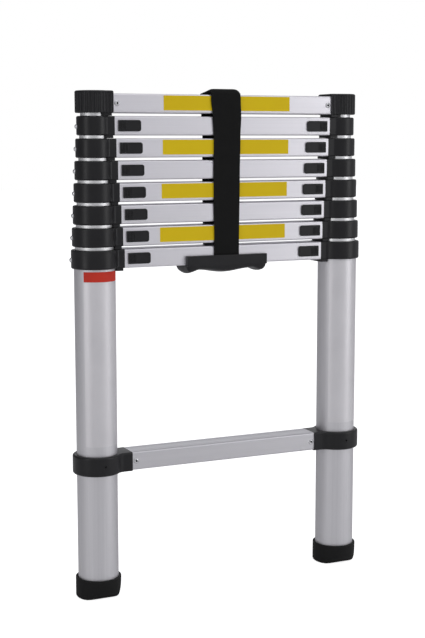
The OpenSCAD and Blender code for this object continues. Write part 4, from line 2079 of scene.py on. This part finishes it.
@dataclass
class Films:
    """The plain coloured strips on four rungs and on the lowest tubes.

    Attributes:
        sections: All sections.
        offsets: How far each strip sits off its rung's middle, from the lowest rung up.
        start_turn: Direction in which a tube's strips start, in degrees.
        sweep: How far they go round the tube, in degrees.
    """

    sections: Sequence[Section]
    thickness: float = 0.14 * MM
    half_length: float = 102.0 * MM
    height: float = 21.2 * MM
    lift: float = 1.1 * MM
    offsets: tuple[float, ...] = (-4.1 * MM, -1.1 * MM, 1.0 * MM, 2.7 * MM)
    corner: float = 0.8 * MM
    corner_steps: int = 3
    tube_gap: float = 0.02 * MM
    start_turn: float = 218.0
    sweep: float = 122.0
    sweep_steps: int = 40
    red_low: float = 467.5 * MM
    red_top: float = 482.0 * MM
    pale_low: float = 229.0 * MM
    pale_top: float = 466.5 * MM

    def on_rung(self, part: Section, offset: float) -> None:
        """Sticks a yellow strip on a rung's front face.

        Args:
            part: The rung's section.
            offset: How far the strip sits off the rung's middle.
        """
        name, high = f"yellow_strip_{part.number}", (self.half_length, self.height / 2)
        origin = Vector((offset, -part.half_depth, part.middle + self.lift))
        corners = ((self.corner, self.corner_steps),) * 4
        pen = Pen.tablet(name, origin, (-high[0], -high[1]), high, corners)
        hand_in(Bench.smooth(pen.solid(self.thickness)), YELLOW_FILM, f"section_{part.number}")

    def on_tube(self, name: str, x: float, low: float, top: float, finish: Film) -> None:
        """Sticks a strip around the front of a lowest tube.

        Args:
            name: The strip's name.
            x: Place of the tube's axis.
            low: The strip's lower edge.
            top: Its upper edge.
            finish: Its finish.
        """
        inner = self.sections[0].tube + self.tube_gap
        outer = inner + self.thickness
        turn = math.radians(self.start_turn)
        start = (outer * math.cos(turn), outer * math.sin(turn))
        pen = Pen(name, Plane.PLAN, Vector((x, 0, low)), start).arc((0, 0), self.sweep, self.sweep_steps)
        turn += math.radians(self.sweep)
        pen.line((inner * math.cos(turn), inner * math.sin(turn)))
        pen.arc((0, 0), -self.sweep, self.sweep_steps).line(start)
        hand_in(Bench.smooth(pen.solid(top - low)), finish, "section_1")

    def build(self) -> None:
        """Models all strips."""
        for part, offset in zip(self.sections[1::2], self.offsets):
            self.on_rung(part, offset)
        self.on_tube("red_strip", -HALF_SPAN, self.red_low, self.red_top, RED_FILM)
        self.on_tube("pale_strip_left", -HALF_SPAN, self.pale_low, self.pale_top, PALE_FILM)
        self.on_tube("pale_strip_right", HALF_SPAN, self.pale_low, self.red_top, PALE_FILM)


class KeptNodes:
    """The CAD nodes that stay as they are and get a finish: tubes, rungs and guide bushes."""

    FINISHES = (
        ("stile_tubes_1", TUBE_METAL), ("stile_tubes_", INNER_TUBE_METAL), ("rung_", RUNG_METAL),
        ("bottom_rung", FIXED_RUNG_PAINTED_SHADE_METAL), ("guide_bushes_", WHITE_NYLON),
    )

    def dress(self) -> None:
        """Gives each node its finish."""
        for name, node in frame["nodes"].items():
            finish = next((finish for start, finish in self.FINISHES if name.startswith(start)), None)
            if finish is None:
                continue
            for holder in node.material_slots:
                holder.material = finish.material()
            LOG.info("%s keeps its shape, finish %s", name, finish.name)


@dataclass(frozen=True)
class Lamp:
    """A soft lamp.

    Attributes:
        name: Its name.
        place: Where it hangs.
        size: Its width and height.
        power: Its power in watts.
    """

    name: str
    place: Triple
    size: Spot
    power: float

    def hang(self, aim: Triple) -> None:
        """Hangs the lamp, facing a point.

        Args:
            aim: The point.
        """
        Bench.clear()
        turn = (Vector(aim) - Vector(self.place)).to_track_quat("-Z", "Y").to_euler()
        bpy.ops.object.light_add(type="AREA", location=self.place, rotation=turn)
        lamp = bpy.context.object
        lamp.name = self.name
        lamp.data.shape = "RECTANGLE"
        lamp.data.size, lamp.data.size_y = self.size
        lamp.data.energy = self.power


@dataclass
class Studio:
    """The pale floor, the soft lights and the camera.

    Attributes:
        eye: Where the camera stands.
        sight: The nearest and the farthest distance that it sees.
        floor_shades: The floor's darker and lighter patches.
        floor_white: How much the floor is lightened for the eye alone.
        front_way: The direction that the room's light comes from most.
        front_span: How far along that direction the light is weakest and strongest.
        backdrop_way: The direction of the bright backdrop.
        backdrop_span: How far along that direction it starts and is full.
        aim: The point that the lamps face.
    """

    eye: Triple = (-0.84724, -1.79107, 0.66845)
    pitch: float = 82.28
    roll: float = 0.058
    yaw: float = -24.961
    lens: float = 74.986
    sensor: float = 36.0
    sight: Spot = (0.05, 100.0)
    floor_size: float = 30.0
    floor_drop: float = 0.3 * MM
    floor_shades: Spot = (0.90, 0.92)
    floor_patches: float = 3.0
    floor_roughness: float = 0.9
    floor_shine: float = 0.1
    floor_white: float = 0.80
    room_colour: Colour = (0.96, 0.965, 1.0)
    front_way: Triple = (0.35, -0.92, 0.2)
    front_span: Spot = (-0.8, 0.8)
    front_light: float = 0.60
    back_light: float = 0.14
    backdrop_way: Triple = (0.42, 0.9, 0.1)
    backdrop_span: Spot = (0.90, 0.97)
    backdrop_light: float = 0.95
    aim: Triple = (0.0, 0.0, 0.4)
    lamps: tuple[Lamp, ...] = (
        Lamp("right_lamp", (1.93, -1.74, 0.75), (0.9, 2.0), 11.0),
        Lamp("left_lamp", (-2.45, -0.92, 0.75), (0.6, 2.0), 9.0),
        Lamp("top_lamp", (0.0, -0.6, 2.8), (2.6, 2.6), 11.0),
    )

    def floor(self) -> None:
        """Lays the floor."""
        Bench.clear()
        bpy.ops.mesh.primitive_plane_add(size=self.floor_size, location=(0, 0, -self.floor_drop))
        floor = Bench.settle(bpy.context.object, "studio_floor")
        paint = bpy.data.materials.new("pale_floor")
        board = Board.blank(paint)
        mottle = board.spread(board.noise(board.place(), self.floor_patches, detail=3.0), CONTRAST)
        seen = board.add("ShaderNodeLightPath").outputs["Is Camera Ray"]
        dark, light = self.floor_shades
        board.shader({
            "Base Color": board.tint(mottle, (dark, dark, dark), (light, light, light)),
            "Roughness": self.floor_roughness,
            "Specular IOR Level": self.floor_shine,
            "Emission Color": (1, 1, 1, 1),
            "Emission Strength": board.math("MULTIPLY", seen, self.floor_white),
        })
        floor.data.materials.append(paint)

    def surroundings(self) -> None:
        """Makes the room: white behind the object, and a softer grey for light and mirror images."""
        world = bpy.data.worlds.new("studio")
        bpy.context.scene.world = world
        board = Board.blank(world)
        seen = board.add("ShaderNodeLightPath").outputs["Is Camera Ray"]
        way = board.add("ShaderNodeTexCoord").outputs["Generated"]
        ahead, behind = board.toward(way, self.front_way), board.toward(way, self.backdrop_way)
        level = board.spread(ahead, self.front_span, (self.back_light, self.front_light))
        patch = board.spread(behind, self.backdrop_span, (0.0, self.backdrop_light))
        level = board.math("MAXIMUM", level, patch)
        white = board.add("ShaderNodeBackground", {"Color": (1, 1, 1, 1), "Strength": 1.0})
        soft = board.add("ShaderNodeBackground", {"Color": (*self.room_colour, 1), "Strength": level})
        both = board.add("ShaderNodeMixShader", {0: seen, 1: soft.outputs[0], 2: white.outputs[0]})
        board.add("ShaderNodeOutputWorld", {"Surface": both.outputs[0]})

    def camera(self) -> None:
        """Sets up the camera where the photograph was taken."""
        Bench.clear()
        turn = tuple(math.radians(angle) for angle in (self.pitch, self.roll, self.yaw))
        bpy.ops.object.camera_add(location=self.eye, rotation=turn)
        camera = bpy.context.object
        camera.name = "photo_camera"
        camera.data.lens, camera.data.sensor_width = self.lens, self.sensor
        camera.data.clip_start, camera.data.clip_end = self.sight
        bpy.context.scene.camera = camera

    def build(self) -> None:
        """Sets the studio up."""
        bpy.context.scene.view_settings.view_transform = "Standard"
        self.floor()
        self.surroundings()
        self.camera()
        for lamp in self.lamps:
            lamp.hang(self.aim)


def main() -> None:
    """Builds the ladder's looks and the studio."""
    logging.basicConfig(level=logging.INFO, format="%(name)s: %(message)s")
    sections = [Section.read(number) for number in range(1, SECTION_COUNT + 1)]
    fixed = Section.read(0)
    locked = sections[:-1]
    next_tubes = [part.tube for part in sections[1:]]
    strap = CarryStrap(sections[-1], sections[0])
    KeptNodes().dress()
    for part, next_tube in zip(locked, next_tubes):
        CollarPair(part, next_tube).build()
    TopCaps(sections[-1]).build()
    BottomClamps(fixed).build()
    Feet(sections[0].tube).build()
    Latches(locked, next_tubes).build()
    RungRivets(fixed, "bottom_rivets", "section_1").build()
    RungRivets(sections[-1], "top_rivets", "section_8").build()
    strap.build()
    CarryHandle(sections[0], strap).build()
    Films(sections).build()
    Studio().build()


if __name__ == "__main__":
    main()
